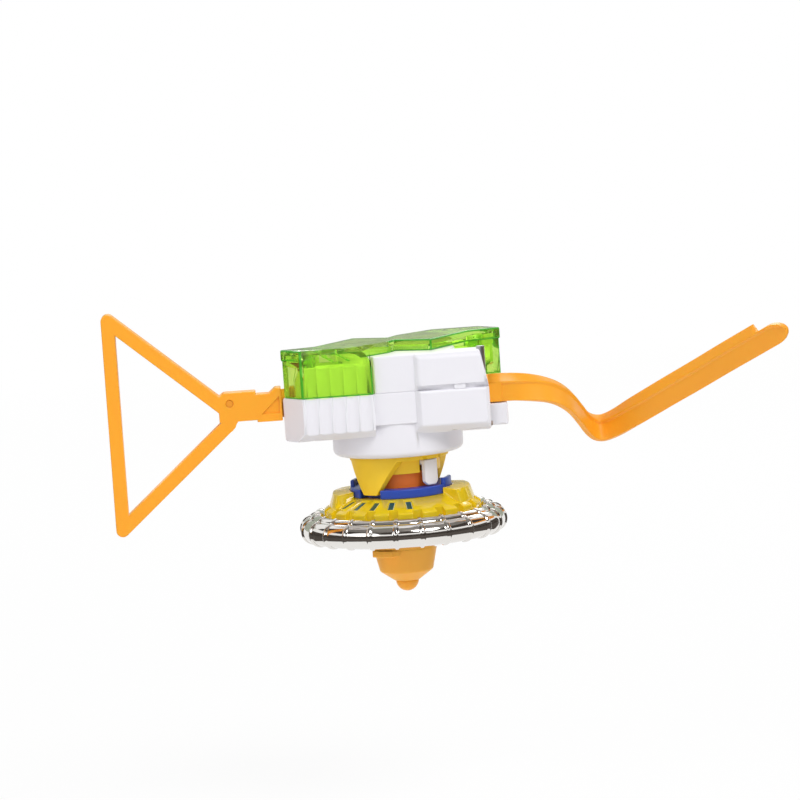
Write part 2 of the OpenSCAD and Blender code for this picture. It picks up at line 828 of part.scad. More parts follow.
module inlay_bars(grow, z0) {
    twofold() for (i = [0 : inlay_count - 1])
        rotate([0, 0, inlay_first + i * inlay_step])
            translate([inlay_r[0] - grow, -inlay_w / 2 - grow, z0])
                cube([inlay_r[1] - inlay_r[0] + 2 * grow, inlay_w + 2 * grow, z_top - z0]);
}

module disc_profile() {
    polygon([
        [disc_bore, z_disc],
        [disc_bore, z_top],
        [disc_flat, z_top],
        [disc_r - disc_slope.x, z_top - disc_slope.y],
        [disc_r, z_top - disc_slope.y - disc_edge],
        [disc_r, z_disc]
    ]);
}

// Raised sloping step over part of the disc
module raised_step() intersection() {
    rotate_extrude($fn = 96) polygon([
        [disc_flat, z_disc + disc_edge],
        [disc_flat, z_top + raised_h],
        [disc_r - raised_inset - raised_slope.x, z_top + raised_h - raised_slope.y],
        [disc_r - raised_inset, z_disc + disc_edge]
    ]);
    translate([0, 0, z_disc]) linear_extrude(disc_h + raised_h + cut) polygon([
        [0, 0],
        polar(2 * disc_r, raised_angles[0]),
        polar(2 * disc_r, raised_angles[1])
    ]);
}

module top_disc() color([0.92, 0.77, 0.15, 0.8]) difference() {
    union() {
        rotate_extrude($fn = 96) disc_profile();
        twofold() raised_step();
    }
    for (i = [0 : disc_teeth - 1]) rotate([0, 0, (i + 0.5) * 360 / disc_teeth])
        translate([disc_r - notch_d, -notch_w / 2, z_disc - cut])
            cube([2 * notch_d, notch_w, disc_h + raised_h + 2 * cut]);
    inlay_bars(seat_play, z_top - inlay_depth);
}

module disc_inlays() color([0.1, 0.35, 0.38]) intersection() {
    inlay_bars(0, z_top - inlay_depth);
    translate([0, 0, -inlay_sunk]) rotate_extrude($fn = 96) disc_profile();
}

// Half section of the chrome ring: a round outer rim, a smaller inner tier and a dished web
module chrome_section(grow) {
    translate([chrome_mid, chrome_eq]) circle(chrome_round + grow);
    translate([disc_r + free_gap + chrome_tier, z_disc - chrome_tier_drop]) circle(chrome_tier + grow);
}

module chrome_ring() color("silver") difference() {
    union() {
        rotate_extrude($fn = 96) {
            chrome_section(0);
            polygon([
                [chrome_hub[0], z_disc],
                [chrome_mid - chrome_floor, z_disc],
                [chrome_mid, chrome_low],
                [base_r + chrome_foot, z_base],
                [chrome_hub[0], z_base]
            ]);
        }
        for (i = [0 : rib_count - 1]) rotate([90, 0, i * 360 / rib_count])
            linear_extrude(rib_w, center = true) chrome_section(rib_out);
    }
    tube(chrome_hub[1], disc_r - notch_d, chrome_low + chrome_floor, z_disc + cut);
}

module tip_base() color("orange") difference() {
    union() {
        column(boss_r, z_base - eps, z_disc);
        rotate_extrude($fn = 96) polygon([
            [0, z_base],
            [0, tip_seat],
            [tip_r + tip_shoulder, tip_seat],
            [base_r - base_taper, z_base - base_wall_h],
            [base_r, z_base]
        ]);
        twofold() ring_sector(boss_r, lobe_r, lobe_angle, lobe_w, z_base - lobe_h, z_base);
    }
    column(screw_r, z_disc - core_screw_len - free_gap, z_disc + cut);
    column(tip_stem_r + seat_play, tip_seat - cut, tip_socket + seat_play);
}

module spin_tip() color("orange") rotate_extrude($fn = 96) {
    translate([0, tip_seat - eps]) square([tip_stem_r, tip_socket - tip_seat + eps]);
    intersection() {
        translate([0, z_tip + tip_r]) circle(tip_r);
        translate([0, z_tip]) square([tip_r, tip_seat - z_tip]);
    }
}

module strip_section() {
    polygon([
        [strip_front_y, z_strip - strip_h / 2],
        [rack_root_y, z_strip - strip_h / 2],
        [rack_root_y, z_strip + strip_h / 2],
        [strip_front_y + strip_slope_d, z_strip + strip_h / 2],
        [strip_front_y, z_strip + strip_h / 2 - strip_slope_h]
    ]);
}

module rack_strip() color("orange") {
    along_x(stem_x, strip_end) strip_section();
    first = ceil((stem_x + rack_root_half) / tooth_pitch);
    last = floor((strip_end - rack_root_half) / tooth_pitch - 0.5);
    tooth_h = strip_h - 2 * rack_margin;
    for (k = [first : last]) translate([(k + 0.5) * tooth_pitch, 0, z_strip - tooth_h / 2])
        linear_extrude(tooth_h) polygon([
            [-rack_root_half, rack_root_y - eps],
            [rack_root_half, rack_root_y - eps],
            [rack_tip_half, rack_tip_y],
            [-rack_tip_half, rack_tip_y]
        ]);
    difference() {
        translate([tongue_x, strip_front_y, z_strip - tongue_h / 2])
            cube([stem_x - tongue_x + eps, strip_web, tongue_h]);
        translate([ring_pin_at.x, 0, ring_pin_at.y]) rotate([90, 0, 0])
            cylinder(d = ring_pin_d + 2 * seat_play, h = 4 * ring_t, center = true);
    }
}

// One section of the tail, s along the strip, from low to high, with its teeth depth deep
function ease(t) = t * t * (3 - 2 * t);
function tail_ring(s, depth, low, high) =
    let (u = lookup(s, route_table), at = tail_point(u), along = tail_along(u),
         lean = tail_lean * ease(min(1, s / tail_twist_len)),
         upright = [0, sin(lean), cos(lean)],
         up = unit(upright - (upright * along) * along) * (1 + tail_grow * s / tail_len),
         side = unit(cross(up, along)),
         tooth = depth * side,
         crease = min(high, strip_h / 2 - strip_slope_h))
        [at - side * strip_web + up * low,
         at + up * low,
         at + up * (low + rack_margin),
         at + tooth + up * (low + rack_margin),
         at + tooth + up * (high - rack_margin),
         at + up * (high - rack_margin),
         at + up * high,
         at - side * (strip_web - strip_slope_d) + up * high,
         at - side * strip_web + up * crease];

module strip_tail() color("orange") {
    rack_h = addendum + dedendum;
    half = strip_h / 2;
    tab_high = half - strip_slope_h;
    tab_half = (tab_high + half) / 2;
    tab_mid = (tab_high - half) / 2;
    teeth = floor((tail_len - end_tab_len) / tooth_pitch);
    corners = [
        [-rack_root_half, root_skin], [-rack_tip_half, rack_h],
        [rack_tip_half, rack_h], [rack_root_half, root_skin]
    ];
    stations = concat(
        [[0, root_skin, -half, half]],
        [for (k = [0 : teeth - 1]) for (c = corners)
            [(k + 0.5) * tooth_pitch + c[0], c[1], -half, half]],
        [[tail_len - end_tab_len, root_skin, -half, half]],
        [[tail_len - end_tab_len + end_tab_step, root_skin, -half, tab_high]],
        [for (t = [0, 0.35, 0.6, 0.78, 0.9])
            let (h = tab_half * sqrt(1 - t * t))
                [tail_len - tail_end_round * (1 - t), root_skin, tab_mid - h, tab_mid + h]]
    );
    sides = 9;
    last = len(stations) - 1;
    pts = [for (st = stations) each tail_ring(st[0], st[1], st[2], st[3])];
    faces = concat(
        [for (i = [0 : last - 1]) for (k = [0 : sides - 1])
            let (n = (k + 1) % sides)
                each [[i * sides + k, (i + 1) * sides + n, (i + 1) * sides + k],
                      [i * sides + k, i * sides + n, (i + 1) * sides + n]]],
        [[for (k = [0 : sides - 1]) sides - 1 - k]],
        [[for (k = [0 : sides - 1]) last * sides + k]]
    );
    polyhedron(pts, faces);
}

module bar(a, b) {
    translate(a) rotate([0, 0, atan2(b.y - a.y, b.x - a.x)])
        translate([0, -ring_bar / 2]) square([norm(b - a), ring_bar]);
}

// Outline of the finger ring and its stem in their own plane, about the strip's middle line
module ring_outline() {
    translate([0, -ring_drop]) {
        for (side = [-1, 1]) {
            bar([arm_start.x, side * arm_start.y], [grip_x, side * grip_half]);
            translate([grip_x, side * grip_half]) circle(ring_bar / 2);
            translate([arm_start.x, side * arm_start.y]) circle(ring_bar / 2);
        }
        bar([grip_x, -grip_half], [grip_x, grip_half]);
    }
    translate([hub_x, 0]) polygon(gusset);
    polygon([
        [hub_x, -hub_h / 2],
        [truss_x, -hub_h / 2],
        [truss_x, hub_h / 2],
        [hub_x + hub_bevel.x, hub_h / 2],
        [hub_x, hub_h / 2 - hub_bevel.y]
    ]);
    polygon([
        [truss_x - eps, -truss_h / 2],
        [stem_x, -truss_h / 2],
        [stem_x, truss_h / 2],
        [stem_x - truss_top, truss_h / 2],
        [stem_x - truss_top - neck_run, truss_h / 2 - neck_drop],
        [truss_x - eps, truss_h / 2 - neck_drop]
    ]);
}

module pull_ring() color("orange") difference() {
    translate([0, stem_y + ring_t, z_strip]) rotate([90, 0, 0]) linear_extrude(ring_t) ring_outline();
    translate([tongue_x - seat_play, strip_front_y - seat_play, z_strip - tongue_h / 2 - seat_play])
        cube([stem_x - tongue_x + cut, strip_web + 2 * seat_play, tongue_h + 2 * seat_play]);
    translate([ring_pin_at.x, 0, ring_pin_at.y]) rotate([90, 0, 0])
        cylinder(d = ring_pin_d + 2 * seat_play, h = 4 * ring_t, center = true);
    for (y = [stem_y - cut, stem_y + ring_t - recess_d])
        translate([0, y + cut + recess_d, z_strip]) rotate([90, 0, 0]) linear_extrude(cut + recess_d)
            polygon([
                [stem_x - recess_in.x, -truss_h / 2 + recess_low],
                [stem_x - recess_in.x, truss_h / 2 - recess_top],
                [truss_x + recess_in.y, -truss_h / 2 + recess_low]
            ]);
}

module ring_pin() color("darkorange") translate([ring_pin_at.x, stem_y + ring_t, ring_pin_at.y])
    rotate([90, 0, 0]) cylinder(d = ring_pin_d, h = ring_t);

lower_housing();
upper_housing();
top_cover();
housing_screws();
cover_screws();
upper_bush();
lower_bush();
drive_gear();
spindle();
claw_rotor();
thrust_washer();
stop_washer();
rotor_screw();
ejector();
ejector_spring();
core_cap();
core_screw();
lock_ring();
top_disc();
disc_inlays();
chrome_ring();
tip_base();
spin_tip();
rack_strip();
strip_tail();
pull_ring();
ring_pin();
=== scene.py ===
"""Looks of the spinning top launcher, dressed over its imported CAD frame. Metres."""
import json
import math

import bmesh
import bpy
from mathutils import Matrix, Vector
from mathutils.bvhtree import BVHTree
from mathutils.kdtree import KDTree


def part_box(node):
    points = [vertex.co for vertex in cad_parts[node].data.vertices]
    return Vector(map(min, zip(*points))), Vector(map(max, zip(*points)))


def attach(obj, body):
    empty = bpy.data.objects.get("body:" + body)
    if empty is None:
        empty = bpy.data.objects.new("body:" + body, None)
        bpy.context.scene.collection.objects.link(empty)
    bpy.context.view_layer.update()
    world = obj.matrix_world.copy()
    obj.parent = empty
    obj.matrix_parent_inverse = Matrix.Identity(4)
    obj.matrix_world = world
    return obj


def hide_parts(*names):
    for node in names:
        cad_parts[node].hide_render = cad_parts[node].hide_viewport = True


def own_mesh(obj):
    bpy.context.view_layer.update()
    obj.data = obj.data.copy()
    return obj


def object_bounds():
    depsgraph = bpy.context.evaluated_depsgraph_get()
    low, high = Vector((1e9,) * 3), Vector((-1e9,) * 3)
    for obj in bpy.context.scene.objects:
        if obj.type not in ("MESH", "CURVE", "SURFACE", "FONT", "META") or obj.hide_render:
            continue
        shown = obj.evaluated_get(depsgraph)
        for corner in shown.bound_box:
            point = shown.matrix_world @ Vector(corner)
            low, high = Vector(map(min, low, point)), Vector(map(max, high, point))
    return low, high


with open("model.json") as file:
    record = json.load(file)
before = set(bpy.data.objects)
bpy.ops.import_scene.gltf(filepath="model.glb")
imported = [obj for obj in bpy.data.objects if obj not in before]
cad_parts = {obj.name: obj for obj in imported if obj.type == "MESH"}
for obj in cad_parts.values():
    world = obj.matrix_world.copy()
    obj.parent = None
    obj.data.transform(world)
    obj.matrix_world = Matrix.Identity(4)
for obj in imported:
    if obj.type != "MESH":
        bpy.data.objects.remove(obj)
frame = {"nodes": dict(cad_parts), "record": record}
cad_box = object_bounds()
nodes = frame["nodes"]
body_of_node = {n: b for b, ns in frame["record"]["behaviour"]["bodies"].items() for n in ns}
slot_of_node = {s["node"]: s["material_slot"] for s in frame["record"]["subparts"]}

MM = 0.001


def link(name, data):
    """A new object in the scene."""
    obj = bpy.data.objects.new(name, data)
    bpy.context.scene.collection.objects.link(obj)
    return obj


# Camera: angles in degrees, lengths in metres, places in the picture in pixels
PICTURE = 800
CAM_AZIMUTH = -2.0
CAM_ELEVATION = 6.0
CAM_ROLL = 3.9
CAM_DISTANCE = 0.9
CAM_PIXELS_PER_M = 4118.0
CAM_TARGET = Vector((0, 0, -0.025))
CAM_TARGET_PIXEL = (398.0, 440.7)
CAM_CLIP = (0.01, 50)
SENSOR = 36.0


def add_camera():
    """Puts the camera where the photograph seems to be taken from."""
    az, el, roll = (math.radians(a) for a in (CAM_AZIMUTH, CAM_ELEVATION, CAM_ROLL))
    back = Vector((math.sin(az) * math.cos(el), -math.cos(az) * math.cos(el), math.sin(el)))
    level_right = (-back).cross(Vector((0, 0, 1))).normalized()
    level_up = level_right.cross(-back)
    right = math.cos(roll) * level_right - math.sin(roll) * level_up
    up = math.sin(roll) * level_right + math.cos(roll) * level_up
    off_x = (PICTURE / 2 - CAM_TARGET_PIXEL[0]) / CAM_PIXELS_PER_M
    off_y = (CAM_TARGET_PIXEL[1] - PICTURE / 2) / CAM_PIXELS_PER_M
    aim = CAM_TARGET + right * off_x + up * off_y
    data = bpy.data.cameras.new("photo_camera")
    data.sensor_width = SENSOR
    data.lens = CAM_PIXELS_PER_M * CAM_DISTANCE / PICTURE * SENSOR
    data.clip_start, data.clip_end = CAM_CLIP
    cam = link("photo_camera", data)
    turn = Matrix((right, up, back)).transposed().to_4x4()
    cam.matrix_world = Matrix.Translation(aim + back * CAM_DISTANCE) @ turn
    bpy.context.scene.camera = cam


# Node helpers
def feed(tree, socket, value):
    """Links a value that comes from a node, and sets a plain one."""
    if isinstance(value, bpy.types.NodeSocket):
        tree.links.new(value, socket)
    else:
        socket.default_value = value


def new_group(name, inputs, outputs):
    """A shader node group with inputs {name: default} and outputs {name: type}."""
    group = bpy.data.node_groups.new(name, "ShaderNodeTree")
    for key, value in inputs.items():
        kind = "NodeSocketColor" if isinstance(value, tuple) else "NodeSocketFloat"
        socket = group.interface.new_socket(key, in_out="INPUT", socket_type=kind)
        socket.default_value = value
    for key, kind in outputs.items():
        group.interface.new_socket(key, in_out="OUTPUT", socket_type=kind)
    return group, group.nodes.new("NodeGroupInput"), group.nodes.new("NodeGroupOutput")


def noise(tree, coords, scale, detail, roughness):
    """A noise texture's value."""
    node = tree.nodes.new("ShaderNodeTexNoise")
    for key, value in (("Vector", coords), ("Scale", scale), ("Detail", detail), ("Roughness", roughness)):
        feed(tree, node.inputs[key], value)
    return node.outputs["Fac"]


def math_node(tree, kind, a, b, clamp=False):
    """The result of a sum on two values."""
    node = tree.nodes.new("ShaderNodeMath")
    node.operation = kind
    node.use_clamp = clamp
    feed(tree, node.inputs[0], a)
    feed(tree, node.inputs[1], b)
    return node.outputs[0]


def remap(tree, value, low, high, to_low, to_high):
    """A value with the band from low to high mapped onto another band."""
    node = tree.nodes.new("ShaderNodeMapRange")
    feed(tree, node.inputs["Value"], value)
    for key, number in (("From Min", low), ("From Max", high), ("To Min", to_low), ("To Max", to_high)):
        feed(tree, node.inputs[key], number)
    return node.outputs["Result"]


def mix_color(tree, fac, a, b):
    """The colour a where fac is 0 and b where it is 1."""
    node = tree.nodes.new("ShaderNodeMix")
    node.data_type = "RGBA"
    for key, value in (("Factor", fac), ("A", a), ("B", b)):
        feed(tree, node.inputs[key], value)
    return node.outputs["Result"]


def mix_shaders(tree, fac, first, second, output):
    """Shows the first shader where fac is 0 and the second where it is 1."""
    mixer = tree.nodes.new("ShaderNodeMixShader")
    for socket, value in zip(mixer.inputs, (fac, first, second)):
        feed(tree, socket, value)
    tree.links.new(mixer.outputs["Shader"], tree.nodes[output].inputs["Surface"])


# Moulded surface: how its scuffs lie, the bands of noise that show, and shares of what they change
HAIR_TURN = (0.4, 0.7, 0.3)
HAIR_STRETCH = (40.0, 900.0, 900.0)
HAIR_SCALE = 2.0
HAIR_BAND = (0.63, 0.72)
DRIFT_BAND = (0.3, 0.7)
SHADE_SHARE = 0.55
SCUFF_COLOR = 0.25
SCUFF_ROUGH = 0.18
SCUFF_DEEP = 0.8
BUMP_DISTANCE = 0.1 * MM


def make_mould_group():
    """Moulded plastic: drifting shade, polished and dull patches, fine grain and hairline scuffs."""
    group, gin, gout = new_group(
        "moulded_surface",
        {"Color": (0.8, 0.8, 0.8, 1.0), "Shade": (0.7, 0.7, 0.7, 1.0), "Roughness": 0.35, "Patch": 0.08,
         "Grain Scale": 2500.0, "Drift Scale": 60.0, "Scuff": 0.25},
        {"Color": "NodeSocketColor", "Roughness": "NodeSocketFloat", "Height": "NodeSocketFloat"},
    )
    coords = group.nodes.new("ShaderNodeTexCoord").outputs["Object"]
    drift = noise(group, coords, gin.outputs["Drift Scale"], detail=4.0, roughness=0.55)
    grain = noise(group, coords, gin.outputs["Grain Scale"], detail=2.0, roughness=0.6)
    stretch = group.nodes.new("ShaderNodeMapping")
    stretch.inputs["Rotation"].default_value = HAIR_TURN
    stretch.inputs["Scale"].default_value = HAIR_STRETCH
    group.links.new(coords, stretch.inputs["Vector"])
    hair = noise(group, stretch.outputs["Vector"], HAIR_SCALE, detail=5.0, roughness=0.7)
    scuff = math_node(group, "MULTIPLY", remap(group, hair, *HAIR_BAND, 0.0, 1.0), gin.outputs["Scuff"])
    patch = remap(group, drift, *DRIFT_BAND, 0.0, 1.0)
    shaded = math_node(group, "MULTIPLY", patch, SHADE_SHARE)
    shade = mix_color(group, shaded, gin.outputs["Color"], gin.outputs["Shade"])
    color = mix_color(group, math_node(group, "MULTIPLY", scuff, SCUFF_COLOR), shade, gin.outputs["Color"])
    dull = math_node(group, "MULTIPLY", patch, gin.outputs["Patch"])
    rough = math_node(group, "ADD", gin.outputs["Roughness"], dull)
    rough = math_node(group, "ADD", rough, math_node(group, "MULTIPLY", scuff, SCUFF_ROUGH), clamp=True)
    height = math_node(group, "SUBTRACT", grain, math_node(group, "MULTIPLY", scuff, SCUFF_DEEP))
    for key, value in (("Color", color), ("Roughness", rough), ("Height", height)):
        group.links.new(value, gout.inputs[key])
    return group


MOULD = make_mould_group()


def new_material(name):
    """A new material with its node tree and main shader."""
    material = bpy.data.materials.new(name)
    material.use_nodes = True
    tree = material.node_tree
    return material, tree, tree.nodes["Principled BSDF"]


def moulded(name, color, shade, rough, bump, patch=0.1, **constants):
    """A finish made from the moulded_surface group, with plain constants set on the shader itself."""
    material, tree, shader = new_material(name)
    group = tree.nodes.new("ShaderNodeGroup")
    group.node_tree = MOULD
    for key, value in (("Color", (*color, 1.0)), ("Shade", (*shade, 1.0)), ("Roughness", rough),
                       ("Patch", patch)):
        group.inputs[key].default_value = value
    bumper = tree.nodes.new("ShaderNodeBump")
    bumper.inputs["Strength"].default_value = bump
    bumper.inputs["Distance"].default_value = BUMP_DISTANCE
    tree.links.new(group.outputs["Color"], shader.inputs["Base Color"])
    tree.links.new(group.outputs["Roughness"], shader.inputs["Roughness"])
    tree.links.new(group.outputs["Height"], bumper.inputs["Height"])
    tree.links.new(bumper.outputs["Normal"], shader.inputs["Normal"])
    for key, value in constants.items():
        shader.inputs[key.replace("_", " ")].default_value = value
    return material


CLEAR_IOR = 1.49


def clear(name, color, shade, rough, bump, patch, passes, deep, density, film):
    """A clear moulding that absorbs light inside. To a lamp's shadow ray it is a plain tinted film."""
    material = moulded(name, color, shade, rough, bump, patch, Transmission_Weight=passes, IOR=CLEAR_IOR)
    tree = material.node_tree
    volume = tree.nodes.new("ShaderNodeVolumeAbsorption")
    volume.inputs["Color"].default_value = (*deep, 1.0)
    volume.inputs["Density"].default_value = density
    tree.links.new(volume.outputs["Volume"], tree.nodes["Material Output"].inputs["Volume"])
    thin = tree.nodes.new("ShaderNodeBsdfTransparent")
    thin.inputs["Color"].default_value = (*film, 1.0)
    shadow = tree.nodes.new("ShaderNodeLightPath").outputs["Is Shadow Ray"]
    body = tree.nodes["Principled BSDF"].outputs["BSDF"]
    mix_shaders(tree, shadow, body, thin.outputs["BSDF"], "Material Output")
    return material


# Finishes: colour, its drifting shade, roughness and strength of the grain
SOFT_GLOW = {"Subsurface_Weight": 0.15, "Subsurface_Scale": 0.002}
WHITE = moulded("white_moulding", (0.84, 0.83, 0.875), (0.80, 0.785, 0.84), 0.36, 0.05)
ORANGE = moulded("orange_moulding", (1.0, 0.41, 0.018), (0.95, 0.36, 0.012), 0.34, 0.04, **SOFT_GLOW)
YELLOW = moulded("yellow_moulding", (1.0, 0.66, 0.022), (0.95, 0.59, 0.014), 0.38, 0.04)
BLUE = moulded("blue_moulding", (0.022, 0.075, 0.48), (0.016, 0.055, 0.40), 0.32, 0.04)
CORE = moulded("core_moulding", (1.0, 0.23, 0.025), (0.92, 0.19, 0.018), 0.4, 0.04)
# Painted shade: the ring pin's dot is a darker orange that stands in for the shade of its recess
PIN_SHADED = moulded("pin_moulding", (0.86, 0.31, 0.013), (0.78, 0.27, 0.010), 0.4, 0.04)
CUP = moulded("cup_moulding", (1.0, 0.46, 0.04), (0.94, 0.41, 0.03), 0.42, 0.04, **SOFT_GLOW)
ACETAL = moulded("gear_acetal", (0.80, 0.79, 0.74), (0.74, 0.72, 0.66), 0.45, 0.04)
STEEL = moulded("zinc_steel", (0.62, 0.62, 0.63), (0.5, 0.5, 0.51), 0.28, 0.05, Metallic=1.0)
BRASS = moulded("sintered_bush", (0.72, 0.52, 0.22), (0.6, 0.4, 0.15), 0.42, 0.08, Metallic=1.0)
TEAL = moulded("teal_foil", (0.03, 0.14, 0.15), (0.02, 0.09, 0.10), 0.28, 0.03, Metallic=0.5)
PALE_FOIL = moulded("pale_foil_edge", (0.80, 0.82, 0.62), (0.72, 0.75, 0.55), 0.3, 0.03)
CHROME = moulded("bright_plating", (0.80, 0.78, 0.75), (0.75, 0.72, 0.68), 0.06, 0.02, patch=0.05,
                 Metallic=1.0)
GREEN_DEEP = (0.35, 0.86, 0.12)
GREEN_DENSITY = 18.0
GREEN = clear("green_clear", (0.60, 0.86, 0.18), (0.56, 0.83, 0.155), 0.04, 0.02, patch=0.04,
              passes=0.93, deep=GREEN_DEEP, density=GREEN_DENSITY, film=(0.92, 0.98, 0.55))
# Painted light: a deeper, less clear green for the cover's rounded edges, standing in for the outline that
# refraction draws along a clear moulding's edges
GREEN_PAINTED_EDGE = clear("green_clear_edge", (0.10, 0.56, 0.04), (0.08, 0.50, 0.035), 0.12, 0.02, patch=0.04,
                   passes=0.35, deep=GREEN_DEEP, density=GREEN_DENSITY, film=(0.85, 0.97, 0.45))
GLASS_YELLOW = clear("yellow_clear", (1.0, 0.78, 0.02), (0.97, 0.73, 0.015), 0.07, 0.03, patch=0.05,
                     passes=0.33, deep=(0.97, 0.88, 0.10), density=200.0, film=(0.97, 0.90, 0.35))

FINISHES = {
    "white_plastic": WHITE, "green_clear": GREEN, "orange_plastic": ORANGE, "yellow_plastic": YELLOW,
    "yellow_clear": GLASS_YELLOW, "blue_plastic": BLUE, "core_plastic": CORE, "teal_inlay": TEAL,
    "chrome_plating": CHROME, "gear_plastic": ACETAL, "bush_brass": BRASS, "steel": STEEL,
}


def give_finish(mesh, material):
    """Makes a material the only one of a mesh."""
    mesh.materials.clear()
    mesh.materials.append(material)


for name, node in nodes.items():
    give_finish(node.data, FINISHES[slot_of_node[name]])
# The ring pin gets the darker orange of painted recess shade
give_finish(nodes["ring_pin"].data, PIN_SHADED)


def stands_for(obj, name):
    """Rides the piece on its node's body, in the node's place, and hides the node."""
    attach(obj, body_of_node[name])
    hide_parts(name)


def evaluated(obj):
    """An object as its modifiers leave it."""
    graph = bpy.context.evaluated_depsgraph_get()
    graph.update()
    return obj.evaluated_get(graph)


def baked(obj):
    """Turns an object and its modifiers into one plain mesh object."""
    mesh = bpy.data.meshes.new_from_object(evaluated(obj))
    mesh.name = obj.name
    obj.modifiers.clear()
    obj.data = mesh
    return obj


# Rounded edges: which creases get one, how wide it may be, and what counts as a fault of it
SOFT_CREASE = math.radians(28)
FLAT_ANGLE = math.radians(1.5)
EDGE_SHARE = 0.4
COLLINEAR = 0.25
NO_LIMIT = 1.0
LEAST_WEIGHT = 0.12
ROUND_TRIES = 8
ROUND_BACK_OFF = 0.5
FAULT_REACH = 2
FOLD_ANGLE = math.radians(155)
SPIKE = 0.02 * MM
SLIVER = 0.002 * MM


def edge_room(edge):
    """How far a rounding may run from an edge, from the sides that its faces have next to it."""
    start, end = (v.co for v in edge.verts)
    along = (end - start).normalized()
    room = NO_LIMIT
    for loop in edge.link_loops:
        for near in (loop.link_loop_next.edge, loop.link_loop_prev.edge):
            run = near.verts[1].co - near.verts[0].co
            across = (run - along * run.dot(along)).length
            if across > COLLINEAR * run.length:
                room = min(room, across)
        reach = max((v.co - start - along * (v.co - start).dot(along)).length for v in loop.face.verts)
        room = min(room, reach)
    return room


def edge_weights(bm, width):
    """Gives each convex crease the share of a rounding's width that it has room for."""
    weights = bm.edges.layers.float.new("bevel_weight_edge")
    for edge in bm.edges:
        if len(edge.link_faces) == 2 and edge.is_convex and edge.calc_face_angle() > SOFT_CREASE:
            weight = min(1.0, EDGE_SHARE * edge_room(edge) / width)
            edge[weights] = weight if weight > LEAST_WEIGHT else 0.0
    return weights


def faults(mesh, solid):
    """Places where a rounded mesh cuts through itself, folds back or leaves its solid."""
    bm = bmesh.new()
    bm.from_mesh(mesh)
    bm.faces.ensure_lookup_table()
    tree = BVHTree.FromBMesh(bm)
    corners = [{v.index for v in face.verts} for face in bm.faces]
    spots = []
    for a, b in tree.overlap(tree):
        if a < b and not corners[a] & corners[b]:
            small = min(bm.faces[a], bm.faces[b], key=lambda face: face.calc_area())
            spots.append(small.calc_center_median())
    for edge in bm.edges:
        if len(edge.link_faces) == 2 and edge.calc_face_angle(0.0) > FOLD_ANGLE:
            spots.append((edge.verts[0].co + edge.verts[1].co) / 2)
    for vert in bm.verts:
        place, normal, _, gap = solid.find_nearest(vert.co)
        if gap > SPIKE and (vert.co - place).dot(normal) > 0:
            spots.append(vert.co.copy())
    bm.free()
    return spots


def ease_off(bm, weights, spots, reach):
    """Lowers the rounding of the edges that pass near the spots."""
    near = KDTree(len(spots))
    for number, spot in enumerate(spots):
        near.insert(spot, number)
    near.balance()
    for edge in bm.edges:
        if edge[weights] > 0:
            start, end = (v.co for v in edge.verts)
            steps = max(1, math.ceil((end - start).length / reach))
            if any(near.find(start.lerp(end, k / steps))[2] < reach for k in range(steps + 1)):
                lower = edge[weights] * ROUND_BACK_OFF
                edge[weights] = lower if lower > LEAST_WEIGHT else 0.0


def clear_slivers(mesh):
    """Merges what is too thin to see and would leave the mesh open."""
    bm = bmesh.new()
    bm.from_mesh(mesh)
    bmesh.ops.remove_doubles(bm, verts=bm.verts, dist=SLIVER)
    bmesh.ops.dissolve_degenerate(bm, edges=bm.edges, dist=SLIVER)
    bm.to_mesh(mesh)
    bm.free()


def softened(name, width, segments, edge_material=None):
    """A copy of a CAD node with moulded, rounded edges, which stands for the node."""
    mesh = nodes[name].data.copy()
    if edge_material:
        mesh.materials.append(edge_material)
    bm = bmesh.new()
    bm.from_mesh(mesh)
    bmesh.ops.remove_doubles(bm, verts=bm.verts, dist=SLIVER)
    bmesh.ops.dissolve_limit(bm, angle_limit=FLAT_ANGLE, verts=bm.verts, edges=bm.edges)
    for face in bm.faces:
        face.smooth = True
    weights = edge_weights(bm, width)
    solid = BVHTree.FromBMesh(bm)
    obj = link(name + "_moulded", mesh)
    bevel = obj.modifiers.new("edges", "BEVEL")
    bevel.width = width
    bevel.segments = segments
    bevel.limit_method = "WEIGHT"
    bevel.miter_outer = "MITER_ARC"
    bevel.use_clamp_overlap = False
    bevel.material = 1 if edge_material else -1
    for _ in range(ROUND_TRIES):
        bm.to_mesh(mesh)
        mesh.update()
        spots = faults(evaluated(obj).data, solid)
        if not spots:
            break
        ease_off(bm, weights, spots, FAULT_REACH * width)
    for edge in bm.edges:
        edge.smooth = edge[weights] > 0 or edge.calc_face_angle(0.0) < SOFT_CREASE
    bm.to_mesh(mesh)
    bm.free()
    clear_slivers(baked(obj).data)
    normals = obj.modifiers.new("normals", "WEIGHTED_NORMAL")
    normals.keep_sharp = True
    baked(obj)
    stands_for(obj, name)
    return obj


# Moulded pieces: width of the rounding in millimetres, and its segments
for name, width, segments in (
        ("lower_housing", 0.6, 3), ("upper_housing", 0.6, 3), ("pull_ring", 0.35, 3), ("claw_rotor", 0.2, 2),
        ("ejector", 0.25, 3), ("core_cap", 0.3, 2), ("lock_ring", 0.3, 2), ("top_disc", 0.25, 2),
        ("spin_tip", 0.15, 2), ("rack_strip", 0.15, 2)):
    softened(name, width * MM, segments)
softened("disc_inlays", 0.14 * MM, 1, edge_material=PALE_FOIL)

# Painted light on the cover: its rounded edges carry a deeper green for the outline that refraction draws
# along clear edges. It stays on the outside: faces that look at the cover itself are plain
COVER_CLEAR = 0.01 * MM
cover = softened("top_cover", 0.4 * MM, 3, edge_material=GREEN_PAINTED_EDGE)
cover_sides = BVHTree.FromPolygons([v.co for v in cover.data.vertices],
                                   [p.vertices for p in cover.data.polygons])
for face in cover.data.polygons:
    if cover_sides.ray_cast(face.center + face.normal * COVER_CLEAR, face.normal)[0]:
        face.material_index = 0

